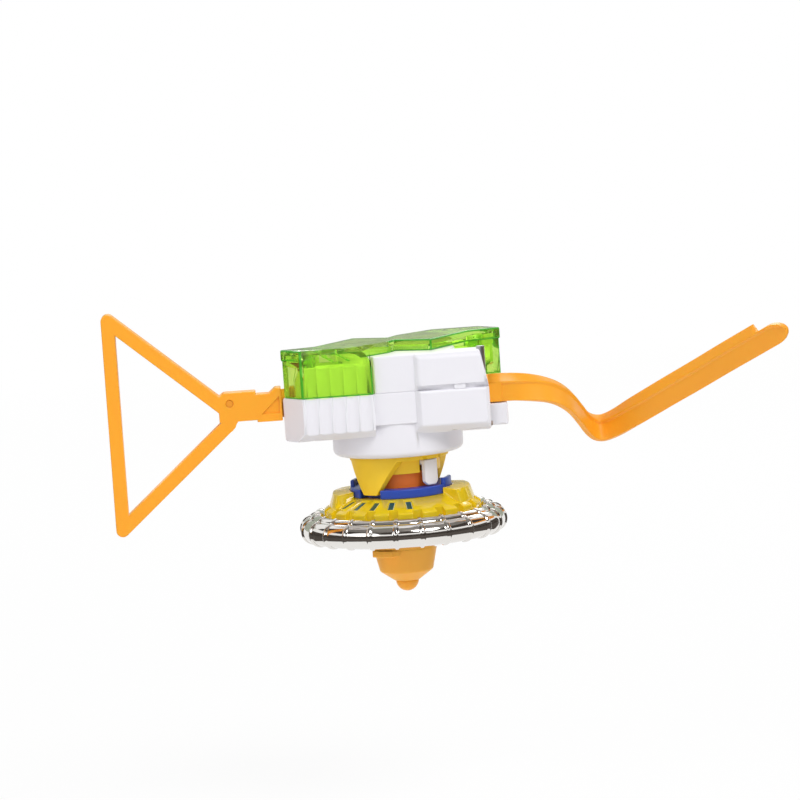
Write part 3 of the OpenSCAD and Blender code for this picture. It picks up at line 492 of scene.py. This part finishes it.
# The cup's two lobes rise with the plated ring's sloping underside
LOBE_START = 8.9 * MM
LOBE_TOP = -51.2 * MM
RING_SLOPE = 0.19
cup = softened("tip_base", 0.3 * MM, 3)
give_finish(cup.data, CUP)
for vert in cup.data.vertices:
    reach = vert.co.xy.length - LOBE_START
    if reach > 0 and vert.co.z > LOBE_TOP:
        vert.co.z += reach * RING_SLOPE


# Geometry node trees for the pieces that repeat or follow a rule
class Tree:
    """A geometry node tree with named inputs, which ends in Realize Instances and Set Material."""

    def __init__(self, name, inputs, material):
        self.group = bpy.data.node_groups.new(name, "GeometryNodeTree")
        self.group.interface.new_socket("Places", in_out="INPUT", socket_type="NodeSocketGeometry")
        for key, value in inputs.items():
            kind = "NodeSocketInt" if isinstance(value, int) else "NodeSocketFloat"
            self.group.interface.new_socket(key, in_out="INPUT", socket_type=kind).default_value = value
        self.group.interface.new_socket("Piece", in_out="OUTPUT", socket_type="NodeSocketGeometry")
        self.entry = self.group.nodes.new("NodeGroupInput")
        self.material = material

    def input(self, key):
        """One of the tree's own inputs."""
        return self.entry.outputs[key]

    def node(self, kind, values=None, **settings):
        """Adds a node, with settings on the node and values or links on its inputs."""
        node = self.group.nodes.new(kind)
        for key, value in settings.items():
            setattr(node, key, value)
        for key, value in (values or {}).items():
            feed(self.group, node.inputs[key], value)
        return node

    def math(self, kind, a, b=0.0):
        """The result of a sum on one or two values."""
        return self.node("ShaderNodeMath", {0: a, 1: b}, operation=kind).outputs[0]

    def vector(self, x, y, z):
        """A vector from three values."""
        return self.node("ShaderNodeCombineXYZ", {0: x, 1: y, 2: z}).outputs[0]

    def position(self):
        """The place of each point, split into its three values."""
        place = self.node("GeometryNodeInputPosition").outputs[0]
        return self.node("ShaderNodeSeparateXYZ", {0: place}).outputs

    def together(self, *geometries):
        """Several geometries as one."""
        join = self.node("GeometryNodeJoinGeometry")
        for geometry in geometries:
            self.group.links.new(geometry, join.inputs[0])
        return join.outputs[0]

    def raised(self, geometry, level, turn=0.0):
        """A geometry lifted along Z and turned round it."""
        return self.node("GeometryNodeTransform", {
            "Geometry": geometry, "Translation": self.vector(0.0, 0.0, level),
            "Rotation": self.vector(0.0, 0.0, turn)}).outputs[0]

    def swept(self, path, radius, sides, values):
        """A smooth round tube along a path."""
        section = self.node("GeometryNodeCurvePrimitiveCircle", {"Resolution": sides, "Radius": radius})
        tube = self.node("GeometryNodeCurveToMesh", {
            "Curve": path.outputs["Curve"], "Profile Curve": section.outputs["Curve"], **values})
        return self.node("GeometryNodeSetShadeSmooth", {"Geometry": tube.outputs["Mesh"]}).outputs[0]

    def end(self, geometry):
        """Closes the tree with what it makes."""
        real = self.node("GeometryNodeRealizeInstances", {"Geometry": geometry}).outputs[0]
        dressed = self.node("GeometryNodeSetMaterial", {"Geometry": real, "Material": self.material})
        self.group.links.new(dressed.outputs[0], self.group.nodes.new("NodeGroupOutput").inputs["Piece"])
        return self

    def grow(self, name, places, **values):
        """A plain mesh object, grown by the tree on a mesh of places."""
        obj = link(name, places)
        modifier = obj.modifiers.new("grow", "NODES")
        modifier.node_group = self.group
        for socket in self.group.interface.items_tree:
            key = socket.name.replace(" ", "_").lower()
            if socket.in_out == "INPUT" and key in values:
                modifier[socket.identifier] = values[key]
        return baked(obj)


def places_mesh(name, points=()):
    """A mesh of loose points, given in millimetres."""
    mesh = bpy.data.meshes.new(name)
    mesh.from_pydata([Vector(p) * MM for p in points], [], [])
    return mesh


# Steps along each rib's pitch, sides of the tube, and the share of a rib's half that is its crest
RIB_STEPS = 36.0
TUBE_SIDES = 32
RIB_CREST = 0.45


def beaded_tube_tree():
    """A plated tube bent to a ring, with narrow raised ribs round it."""
    t = Tree("beaded_tube", {"Ring Radius": 0.02, "Tube Radius": 0.003, "Level": 0.0, "Ribs": 24,
                             "Rib Share": 0.1, "Rib Rise": 0.12, "Turn": 0.0}, CHROME)
    steps = t.math("MULTIPLY", t.input("Ribs"), RIB_STEPS)
    path = t.node("GeometryNodeCurvePrimitiveCircle", {"Resolution": steps, "Radius": t.input("Ring Radius")})
    along = t.node("GeometryNodeSplineParameter").outputs["Factor"]
    phase = t.math("FRACT", t.math("MULTIPLY", along, t.input("Ribs")))
    off_middle = t.math("ABSOLUTE", t.math("SUBTRACT", phase, 0.5))
    low = t.math("SUBTRACT", 0.5, t.input("Rib Share"))
    high = t.math("SUBTRACT", 0.5, t.math("MULTIPLY", t.input("Rib Share"), RIB_CREST))
    rise = t.node("ShaderNodeMapRange", {"Value": off_middle, "From Min": low, "From Max": high,
                                         "To Min": 1.0, "To Max": t.math("ADD", 1.0, t.input("Rib Rise"))},
                  interpolation_type="SMOOTHSTEP").outputs[0]
    tube = t.swept(path, t.input("Tube Radius"), TUBE_SIDES, {"Scale": rise})
    return t.end(t.raised(tube, t.input("Level"), t.input("Turn")))


# Screw: sides, the rim's share of the head's height, the recess in heads, and the seam that is welded
HEAD_SIDES = 40
SHANK_SIDES = 32
RIM_SHARE = 0.7
RECESS_LONG = 1.15
RECESS_WIDE = 0.3
RECESS_HIGH = 1.1
SEAM = 0.001 * MM


def screw_tree():
    """A cross-head screw on each place: a chamfered head with its recess, and a plain shank."""
    t = Tree("cross_head_screw", {"Head Radius": 0.0019, "Head Height": 0.0013, "Shank Radius": 0.001,
                                  "Length": 0.01, "Flip": 0.0}, STEEL)
    radius, height, length = (t.input(key) for key in ("Head Radius", "Head Height", "Length"))
    rim = t.math("MULTIPLY", height, RIM_SHARE)
    chamfer = t.math("SUBTRACT", height, rim)
    disc = t.node("GeometryNodeMeshCylinder", {"Vertices": HEAD_SIDES, "Radius": radius, "Depth": rim})
    disc_up = t.math("ADD", chamfer, t.math("MULTIPLY", rim, 0.5))
    face = t.node("GeometryNodeMeshCone", {
        "Vertices": HEAD_SIDES, "Radius Bottom": t.math("SUBTRACT", radius, chamfer), "Radius Top": radius,
        "Depth": chamfer})
    head = t.together(t.raised(disc.outputs["Mesh"], disc_up), face.outputs["Mesh"])
    seam = t.math("LESS_THAN", t.math("ABSOLUTE", t.math("SUBTRACT", t.position()["Z"], chamfer)), SEAM)
    hollow = t.node("GeometryNodeDeleteGeometry", {"Geometry": head, "Selection": seam}, domain="FACE")
    welded = t.node("GeometryNodeMergeByDistance", {"Geometry": hollow.outputs[0], "Distance": SEAM})
    head = welded.outputs[0]
    bar_long, bar_wide = (t.math("MULTIPLY", radius, share) for share in (RECESS_LONG, RECESS_WIDE))
    bar_high = t.math("MULTIPLY", height, RECESS_HIGH)
    for size in (t.vector(bar_long, bar_wide, bar_high), t.vector(bar_wide, bar_long, bar_high)):
        bar = t.node("GeometryNodeMeshCube", {"Size": size})
        cut = t.node("GeometryNodeMeshBoolean", {"Mesh 1": head, "Mesh 2": bar.outputs["Mesh"]},
                     operation="DIFFERENCE", solver="EXACT")
        head = cut.outputs["Mesh"]
    shank = t.node("GeometryNodeMeshCylinder", {"Vertices": SHANK_SIDES, "Radius": t.input("Shank Radius"),
                                                "Depth": length})
    shank_up = t.math("ADD", height, t.math("MULTIPLY", length, 0.5))
    whole = t.together(head, t.raised(shank.outputs["Mesh"], shank_up))
    turned = t.node("GeometryNodeTransform", {"Geometry": whole,
                                              "Rotation": t.vector(t.input("Flip"), 0.0, 0.0)})
    copies = t.node("GeometryNodeInstanceOnPoints", {"Points": t.input("Places"),
                                                     "Instance": turned.outputs[0]})
    return t.end(copies.outputs[0])


COIL_STEPS = 48
WIRE_SIDES = 12


def coil_tree():
    """A round wire wound into an open coil."""
    t = Tree("wound_coil", {"Coil Radius": 0.005, "Wire Radius": 0.0003, "Height": 0.004, "Turns": 3.0,
                            "Level": 0.0}, STEEL)
    wire = t.node("GeometryNodeCurveSpiral", {
        "Resolution": COIL_STEPS, "Rotations": t.input("Turns"), "Start Radius": t.input("Coil Radius"),
        "End Radius": t.input("Coil Radius"), "Height": t.input("Height")})
    tube = t.swept(wire, t.input("Wire Radius"), WIRE_SIDES, {"Fill Caps": True})
    return t.end(t.raised(tube, t.input("Level")))


def rack_tooth_tree():
    """A tapered tooth on each place, turned by the place's own angles."""
    t = Tree("rack_teeth", {"Root Width": 0.002, "Tip Width": 0.0005, "Rise": 0.0019, "Height": 0.005},
             ORANGE)
    block = t.node("GeometryNodeMeshCube", {"Size": t.vector(t.input("Root Width"), t.input("Rise"),
                                                             t.input("Height"))})
    spot = t.position()
    half = t.math("MULTIPLY", t.input("Rise"), 0.5)
    share = t.node("ShaderNodeMapRange", {
        "Value": spot[1], "From Min": t.math("MULTIPLY", half, -1.0), "From Max": half, "To Min": 1.0,
        "To Max": t.math("DIVIDE", t.input("Tip Width"), t.input("Root Width"))}).outputs[0]
    where = t.vector(t.math("MULTIPLY", spot[0], share), t.math("ADD", spot[1], half), spot[2])
    tapered = t.node("GeometryNodeSetPosition", {"Geometry": block.outputs["Mesh"], "Position": where})
    turn = t.node("GeometryNodeInputNamedAttribute", {"Name": "turn"}, data_type="FLOAT_VECTOR")
    angles = t.node("FunctionNodeEulerToRotation", {0: turn.outputs["Attribute"]})
    copies = t.node("GeometryNodeInstanceOnPoints", {
        "Points": t.input("Places"), "Instance": tapered.outputs[0], "Rotation": angles.outputs[0]})
    return t.end(copies.outputs[0])


def joined(name, objects):
    """One mesh object from several, which are used up."""
    bm = bmesh.new()
    for obj in objects:
        bm.from_mesh(obj.data)
        bpy.data.objects.remove(obj)
    mesh = bpy.data.meshes.new(name)
    bm.to_mesh(mesh)
    bm.free()
    return link(name, mesh)


def closed_mesh(name, points, faces):
    """A smooth mesh whose faces all look outwards."""
    mesh = bpy.data.meshes.new(name)
    mesh.from_pydata(points, [], faces)
    bm = bmesh.new()
    bm.from_mesh(mesh)
    bmesh.ops.recalc_face_normals(bm, faces=bm.faces)
    bm.to_mesh(mesh)
    bm.free()
    mesh.shade_smooth()
    return mesh


def lathe(name, profile, steps):
    """A closed outline of (radius, height) in millimetres, turned round the spin axis."""
    count = len(profile)
    turns = [(math.cos(2 * math.pi * i / steps), math.sin(2 * math.pi * i / steps)) for i in range(steps)]
    points = [(r * c * MM, r * s * MM, z * MM) for c, s in turns for r, z in profile]
    faces = []
    for i in range(steps):
        here, there = i * count, (i + 1) % steps * count
        for k in range(count):
            n = (k + 1) % count
            faces.append((here + k, there + k, there + n, here + n))
    return link(name, closed_mesh(name, points, faces))


# Chrome ring, in millimetres: two beaded tubes over a dished web
CHROME_LEVEL = -45.2
CHROME_MIDDLE = 22.1
CHROME_TUBE = 2.9
TIER_LEVEL = -43.0
TIER_MIDDLE = 21.0
TIER_TUBE = 1.6
TIER_RIB_RISE = 0.18
RIB_TURN = math.radians(8.3)
WEB_STEPS = 192
WEB = [(6.0, -42.7), (7.5, -42.7), (7.5, -46.9), (7.7, -47.1), (17.4, -47.1), (17.6, -46.9), (17.6, -43.0),
       (17.9, -42.7), (21.1, -42.7), (22.1, -48.1), (21.4, -48.25), (8.6, -50.75), (8.4, -50.8), (6.0, -50.8)]
BEADED = beaded_tube_tree()
chrome = joined("chrome_ring_plated", [
    BEADED.grow("chrome_rim", places_mesh("rim_place"), ring_radius=CHROME_MIDDLE * MM,
                tube_radius=CHROME_TUBE * MM, level=CHROME_LEVEL * MM, turn=RIB_TURN),
    BEADED.grow("chrome_tier", places_mesh("tier_place"), ring_radius=TIER_MIDDLE * MM,
                tube_radius=TIER_TUBE * MM, level=TIER_LEVEL * MM, turn=RIB_TURN, rib_rise=TIER_RIB_RISE),
    lathe("chrome_web", WEB, WEB_STEPS),
])
give_finish(chrome.data, CHROME)
stands_for(chrome, "chrome_ring")

# Screws, each from its node's own box. A box wider than this many head radii holds a pair.
# Open fault: the solids have the pair of cover_screws at the other two corners of its box.
HEAD_RADIUS = 1.9 * MM
PAIR_WIDTH = 3
SCREWS = screw_tree()


def add_screws(node, head_height, shank_radius, flip):
    """Screws from a node's box: a pair at its back left and front right corners, or one on the axis."""
    low, high = (Vector(v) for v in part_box(node))
    if high.x - low.x > PAIR_WIDTH * HEAD_RADIUS:
        x, y = high.x - HEAD_RADIUS, high.y - HEAD_RADIUS
        spots = [(-x, y), (x, -y)]
    else:
        spots = [(0.0, 0.0)]
    level = high.z if flip else low.z
    places = places_mesh(node + "_places", [Vector((x, y, level)) / MM for x, y in spots])
    piece = SCREWS.grow(node + "_cross_head", places, head_radius=HEAD_RADIUS, head_height=head_height,
                        shank_radius=shank_radius, length=high.z - low.z - head_height, flip=flip)
    stands_for(piece, node)


for name, head_height, shank_radius, flip in (
        ("housing_screws", 1.3, 0.99, 0.0), ("cover_screws", 1.3, 0.99, 0.0),
        ("rotor_screw", 0.7, 0.79, 0.0), ("core_screw", 1.3, 0.99, math.pi)):
    add_screws(name, head_height * MM, shank_radius * MM, flip)

# Ejector spring, which shortens as the ejector rises
spring_low, spring_high = (Vector(v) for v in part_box("ejector_spring"))
WIRE_RADIUS = 0.3 * MM
spring = coil_tree().grow(
    "ejector_spring_coil", places_mesh("spring_place"), coil_radius=spring_high.x - WIRE_RADIUS,
    wire_radius=WIRE_RADIUS, height=spring_high.z - spring_low.z - 2 * WIRE_RADIUS,
    level=spring_low.z + WIRE_RADIUS)
stands_for(spring, "ejector_spring")
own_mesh(spring)

# Tail of the strip, in millimetres: where the straight part ends, and the section that goes on from it
TOOTH_MODULE = 0.9
TOOTH_PITCH = math.pi * TOOTH_MODULE
STRAIGHT_PITCHES = 9
STRIP_END = STRAIGHT_PITCHES * TOOTH_PITCH
STRIP_ROOT_Y = -6.453
STRIP_LEVEL = -13.0
STRIP_WEB = 1.8
STRIP_HALF = 3.35
SLOPE_DEEP = 1.2
SLOPE_HIGH = 1.9
LIP_DEEP = 0.45
LIP_HIGH = 0.8
LIP_SHARE = 0.2
LIP_EDGE = 0.4
EDGE_ROUND = 0.2
CORNER_SHARE = 0.45
CORNER_STEPS = 3
NUDGE = 0.0001

# How the section leans and grows along the tail, and how the tail starts and ends
TAIL_LEAN = math.radians(33)
SECTION_LEAN = math.radians(-16)
TAIL_DIR = Vector((0, -math.cos(TAIL_LEAN), math.sin(TAIL_LEAN)))
TWIST_LENGTH = 14.0
RISE_START = 32.0
RISE_LENGTH = 26.0
TAIL_GROW = 0.08
STATION_STEP = 0.45
LAP = 3.0
LAP_SKIN = 0.012
END_TAB = 8.0
END_STEP = 0.3
END_ROUND = 4.0
END_PARTS = 12
END_SWEEP = math.radians(85)

# Teeth of the tail: none where the strip falls more steeply than STEEP
TOOTH_ROOT = 2.276
TOOTH_TIP = 0.505
TOOTH_RISE = 1.9
TOOTH_SINK = 0.05
TAIL_TOOTH_MARGIN = 2.0
TAIL_TOOTH_LIFT = 0.7
STEEP = -0.42

# Route past the straight part: along X and along TAIL_DIR, with a rounder and later bend than the solid's
TAIL_ROUTE = [
    (0, 0), (3.2, -0.4), (7, -1.6), (10.7, -3.4), (13.8, -6.2), (16.6, -10.6), (19, -16.6), (21.2, -22.4),
    (23.4, -25.6), (26.2, -26.2), (29.6, -23.4), (34.2, -17.4), (41.3, -8.5), (48.2, -0.2), (54.8, 8),
    (60.8, 15.2), (64.8, 20), (67.1, 22.2)]
ROUTE_LAST = len(TAIL_ROUTE) - 1
ROUTE_STEP = 1 / 12
ROUTE_NUDGE = 0.05


def route_point(u):
    """Smooth curve through the tail's route, u counting its points."""
    i = min(int(u), ROUTE_LAST - 1)
    a, b, c, d = (Vector(TAIL_ROUTE[min(max(k, 0), ROUTE_LAST)]) for k in (i - 1, i, i + 1, i + 2))
    t = u - i
    p = b + 0.5 * t * (c - a + t * (2 * a - 5 * b + 4 * c - d + t * (3 * (b - c) + d - a)))
    return Vector((STRIP_END + p.x, STRIP_ROOT_Y, STRIP_LEVEL)) + p.y * TAIL_DIR


ROUTE_US = [k * ROUTE_STEP for k in range(round(ROUTE_LAST / ROUTE_STEP) + 1)]
ROUTE_LENGTHS = [0.0]
for u in ROUTE_US[1:]:
    ROUTE_LENGTHS.append(ROUTE_LENGTHS[-1] + (route_point(u) - route_point(u - ROUTE_STEP)).length)
TAIL_LENGTH = ROUTE_LENGTHS[-1]


def ease(t):
    """A smooth step from 0 to 1."""
    t = min(1, max(0, t))
    return t * t * (3 - 2 * t)


def tail_frame(s):
    """Place, direction, side, upright and growth of the tail's section at s along it."""
    if s <= 0:
        at, along = Vector((STRIP_END + s, STRIP_ROOT_Y, STRIP_LEVEL)), Vector((1, 0, 0))
    else:
        k = next((i for i, length in enumerate(ROUTE_LENGTHS) if length >= s), len(ROUTE_LENGTHS) - 1)
        span = ROUTE_LENGTHS[k] - ROUTE_LENGTHS[k - 1]
        u = ROUTE_US[k - 1] + (s - ROUTE_LENGTHS[k - 1]) / span * ROUTE_STEP
        at = route_point(u)
        ahead, behind = min(u + ROUTE_NUDGE, ROUTE_LAST), max(u - ROUTE_NUDGE, 0)
        along = (route_point(ahead) - route_point(behind)).normalized()
    risen = ease((s - RISE_START) / RISE_LENGTH)
    lean = TAIL_LEAN * ease(s / TWIST_LENGTH) - (TAIL_LEAN - SECTION_LEAN) * risen
    upright = Vector((0, math.sin(lean), math.cos(lean)))
    up = (upright - upright.dot(along) * along).normalized()
    return at, along, up.cross(along), up, 1 + TAIL_GROW * max(0, s) / TAIL_LENGTH


def rounded_outline(corners):
    """A closed outline with each of its corners turned into a small arc."""
    out = []
    count = len(corners)
    for k in range(count):
        p, a, b = (Vector(corners[j % count]) for j in (k, k - 1, k + 1))
        to_a, to_b = (a - p), (b - p)
        reach = min(EDGE_ROUND, CORNER_SHARE * to_a.length, CORNER_SHARE * to_b.length)
        start, stop = p + to_a.normalized() * reach, p + to_b.normalized() * reach
        for i in range(CORNER_STEPS + 1):
            t = i / CORNER_STEPS
            out.append((1 - t) * (1 - t) * start + 2 * t * (1 - t) * p + t * t * stop)
    return out


def tail_section(low, high):
    """The section between two levels: a flat band with a sloping top and a lip along its crease."""
    crease = min(high, STRIP_HALF - SLOPE_HIGH)
    lip = min(LIP_HIGH, LIP_SHARE * (high - low))
    return rounded_outline([
        (LIP_DEEP - STRIP_WEB, low), (0, low), (0, high), (SLOPE_DEEP - STRIP_WEB, high + NUDGE),
        (-STRIP_WEB, crease), (-STRIP_WEB, crease - LIP_EDGE * lip), (LIP_DEEP - STRIP_WEB, crease - lip)])


def tail_stations():
    """Places along the tail with the section's lowest and highest level there."""
    stations = [(-LAP, -STRIP_HALF, STRIP_HALF)]
    plain = TAIL_LENGTH - END_TAB
    count = round(plain / STATION_STEP)
    stations += [(plain * k / count, -STRIP_HALF, STRIP_HALF) for k in range(count + 1)]
    tab_high = STRIP_HALF - SLOPE_HIGH
    half, mid = (tab_high + STRIP_HALF) / 2, (tab_high - STRIP_HALF) / 2
    stations.append((plain + END_STEP, -STRIP_HALF, tab_high))
    for k in range(END_PARTS + 1):
        t = math.sin(END_SWEEP * k / END_PARTS)
        reach = half * math.sqrt(1 - t * t)
        stations.append((TAIL_LENGTH - END_ROUND * (1 - t), mid - reach, mid + reach))
    return stations


def tail_ribbon():
    """The band of the tail, a little thicker where it laps over the straight part."""
    points, faces = [], []
    rings = tail_stations()
    for s, low, high in rings:
        at, _, side, up, grow = tail_frame(s)
        section = tail_section(low, high)
        skin = 1 + LAP_SKIN * max(0, 1 - max(0, s) / LAP)
        points += [(at + side * p.x * skin + up * (p.y * grow * skin)) * MM for p in section]
    count = len(section)
    for i in range(len(rings) - 1):
        for k in range(count):
            n = (k + 1) % count
            faces.append((i * count + k, i * count + n, (i + 1) * count + n, (i + 1) * count + k))
    last = (len(rings) - 1) * count
    faces += [tuple(range(count)), tuple(last + k for k in range(count))]
    return link("tail_ribbon", closed_mesh("tail_ribbon", points, faces))


def tail_teeth():
    """The teeth on the tail's inner side."""
    spots, turns = [], []
    for k in range(int((TAIL_LENGTH - END_TAB) / TOOTH_PITCH)):
        at, along, side, up, _ = tail_frame((k + 0.5) * TOOTH_PITCH)
        if along.z >= STEEP:
            spots.append(at - side * TOOTH_SINK + up * TAIL_TOOTH_LIFT)
            turns.append(Matrix((along, side, up)).transposed().to_euler("XYZ"))
    places = places_mesh("tail_teeth_places", spots)
    angles = places.attributes.new("turn", "FLOAT_VECTOR", "POINT")
    for item, turn in zip(angles.data, turns):
        item.vector = turn
    return rack_tooth_tree().grow(
        "tail_teeth", places, root_width=TOOTH_ROOT * MM, tip_width=TOOTH_TIP * MM,
        rise=(TOOTH_RISE + TOOTH_SINK) * MM, height=2 * (STRIP_HALF - TAIL_TOOTH_MARGIN) * MM)


tail = joined("strip_tail_ribbon", [tail_ribbon(), tail_teeth()])
give_finish(tail.data, ORANGE)
stands_for(tail, "strip_tail")
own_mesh(tail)

# Stage: pale floor, soft lamps, cards for the reflections and a plain world
FLOOR_DROP = 0.055
FLOOR_LEVEL = cad_box[0].z - FLOOR_DROP
FLOOR_SIZE = 30.0
FLOOR_SHADE = (0.9, 0.9, 0.9)
FLOOR_WHITE = 0.9
FLOOR_FADE = (0.25, 1.2)
MATT = 0.9
PLAIN_WHITE = (1, 1, 1, 1)
WORLD_STRENGTH = 0.47
LAMP_AIM = Vector((0, 0, -0.03))
CARD_STEPS = 64
CARD_LIFT = 0.001
CARD_DARK = (0.06, 0.048, 0.04)
CARD_GREY = (0.30, 0.28, 0.26)
CARD_PALE = (0.42, 0.46, 0.38)


def light_path_mask(tree):
    """1 for what the camera sees directly or in a clear or shiny surface."""
    path = tree.nodes.new("ShaderNodeLightPath")
    seen = math_node(tree, "MAXIMUM", path.outputs["Is Camera Ray"], path.outputs["Is Glossy Ray"])
    return math_node(tree, "MAXIMUM", seen, path.outputs["Is Transmission Ray"])


def matt_material(name, shade):
    """A plain dull material for the stage."""
    material, tree, shader = new_material(name)
    shader.inputs["Base Color"].default_value = (*shade, 1)
    shader.inputs["Roughness"].default_value = MATT
    return material, tree, shader


def add_floor():
    """A pale floor that fades to white with distance from the part."""
    bm = bmesh.new()
    bmesh.ops.create_grid(bm, x_segments=1, y_segments=1, size=FLOOR_SIZE / 2)
    bmesh.ops.translate(bm, verts=bm.verts, vec=(0, 0, FLOOR_LEVEL))
    mesh = bpy.data.meshes.new("pale_floor")
    bm.to_mesh(mesh)
    bm.free()
    floor = link("pale_floor", mesh)
    material, tree, shader = matt_material("pale_floor", FLOOR_SHADE)
    glow = tree.nodes.new("ShaderNodeEmission")
    glow.inputs["Color"].default_value = PLAIN_WHITE
    glow.inputs["Strength"].default_value = 1.0
    reach = tree.nodes.new("ShaderNodeVectorMath")
    reach.operation = "LENGTH"
    tree.links.new(tree.nodes.new("ShaderNodeTexCoord").outputs["Object"], reach.inputs[0])
    fade = remap(tree, reach.outputs["Value"], *FLOOR_FADE, FLOOR_WHITE, 1.0)
    white = math_node(tree, "MULTIPLY", light_path_mask(tree), fade)
    mix_shaders(tree, white, shader.outputs["BSDF"], glow.outputs["Emission"], "Material Output")
    give_finish(mesh, material)


def add_lamp(name, place, size, watts):
    """A round soft lamp that looks at the part."""
    data = bpy.data.lights.new(name, "AREA")
    data.shape = "DISK"
    data.size = size
    data.energy = watts
    lamp = link(name, data)
    lamp.location = place
    lamp.rotation_mode = "QUATERNION"
    lamp.rotation_quaternion = (LAMP_AIM - Vector(place)).to_track_quat("-Z", "Y")


def add_card(name, rings, shade, first=-220, last=40):
    """A card round the object, between two (radius, height) rings, that only shiny surfaces see."""
    angles = [math.radians(first + (last - first) * k / CARD_STEPS) for k in range(CARD_STEPS + 1)]
    points = [(r * math.cos(a), r * math.sin(a), z) for r, z in rings for a in angles]
    row = len(angles)
    mesh = bpy.data.meshes.new(name)
    mesh.from_pydata(points, [], [(k, k + 1, row + k + 1, row + k) for k in range(CARD_STEPS)])
    give_finish(mesh, matt_material(name, shade)[0])
    card = link(name, mesh)
    for rays in ("camera", "diffuse", "transmission", "volume_scatter", "shadow"):
        setattr(card, "visible_" + rays, False)


def add_world():
    """A dim white sky that the camera and shiny surfaces see as full white."""
    world = bpy.data.worlds.new("soft_studio")
    bpy.context.scene.world = world
    world.use_nodes = True
    tree = world.node_tree
    sky = tree.nodes["Background"]
    white = tree.nodes.new("ShaderNodeBackground")
    for shader, strength in ((sky, WORLD_STRENGTH), (white, 1.0)):
        shader.inputs["Color"].default_value = PLAIN_WHITE
        shader.inputs["Strength"].default_value = strength
    mix_shaders(tree, light_path_mask(tree), sky.outputs["Background"], white.outputs["Background"],
                "World Output")


add_camera()
add_floor()
add_card("low_card", [(1.0, FLOOR_LEVEL), (1.0, 0.2)], CARD_DARK)
add_card("floor_card", [(0.14, FLOOR_LEVEL + CARD_LIFT), (1.0, FLOOR_LEVEL + CARD_LIFT)], CARD_DARK)
add_card("middle_card", [(1.25, 0.58), (1.0, 1.0)], CARD_DARK)
add_card("high_card", [(1.0, 1.0), (0.1, 1.0)], CARD_GREY)
add_card("back_card", [(1.0, 0.0), (1.0, 0.45)], CARD_PALE, first=45, last=135)
add_lamp("key_lamp", (0.42, -0.78, 0.95), size=0.6, watts=9.0)
add_lamp("fill_lamp", (-0.75, -0.6, 0.35), size=0.7, watts=1.8)
add_lamp("back_lamp", (0.1, 0.8, 0.6), size=0.6, watts=3.3)
add_world()
bpy.context.scene.view_settings.view_transform = "Standard"
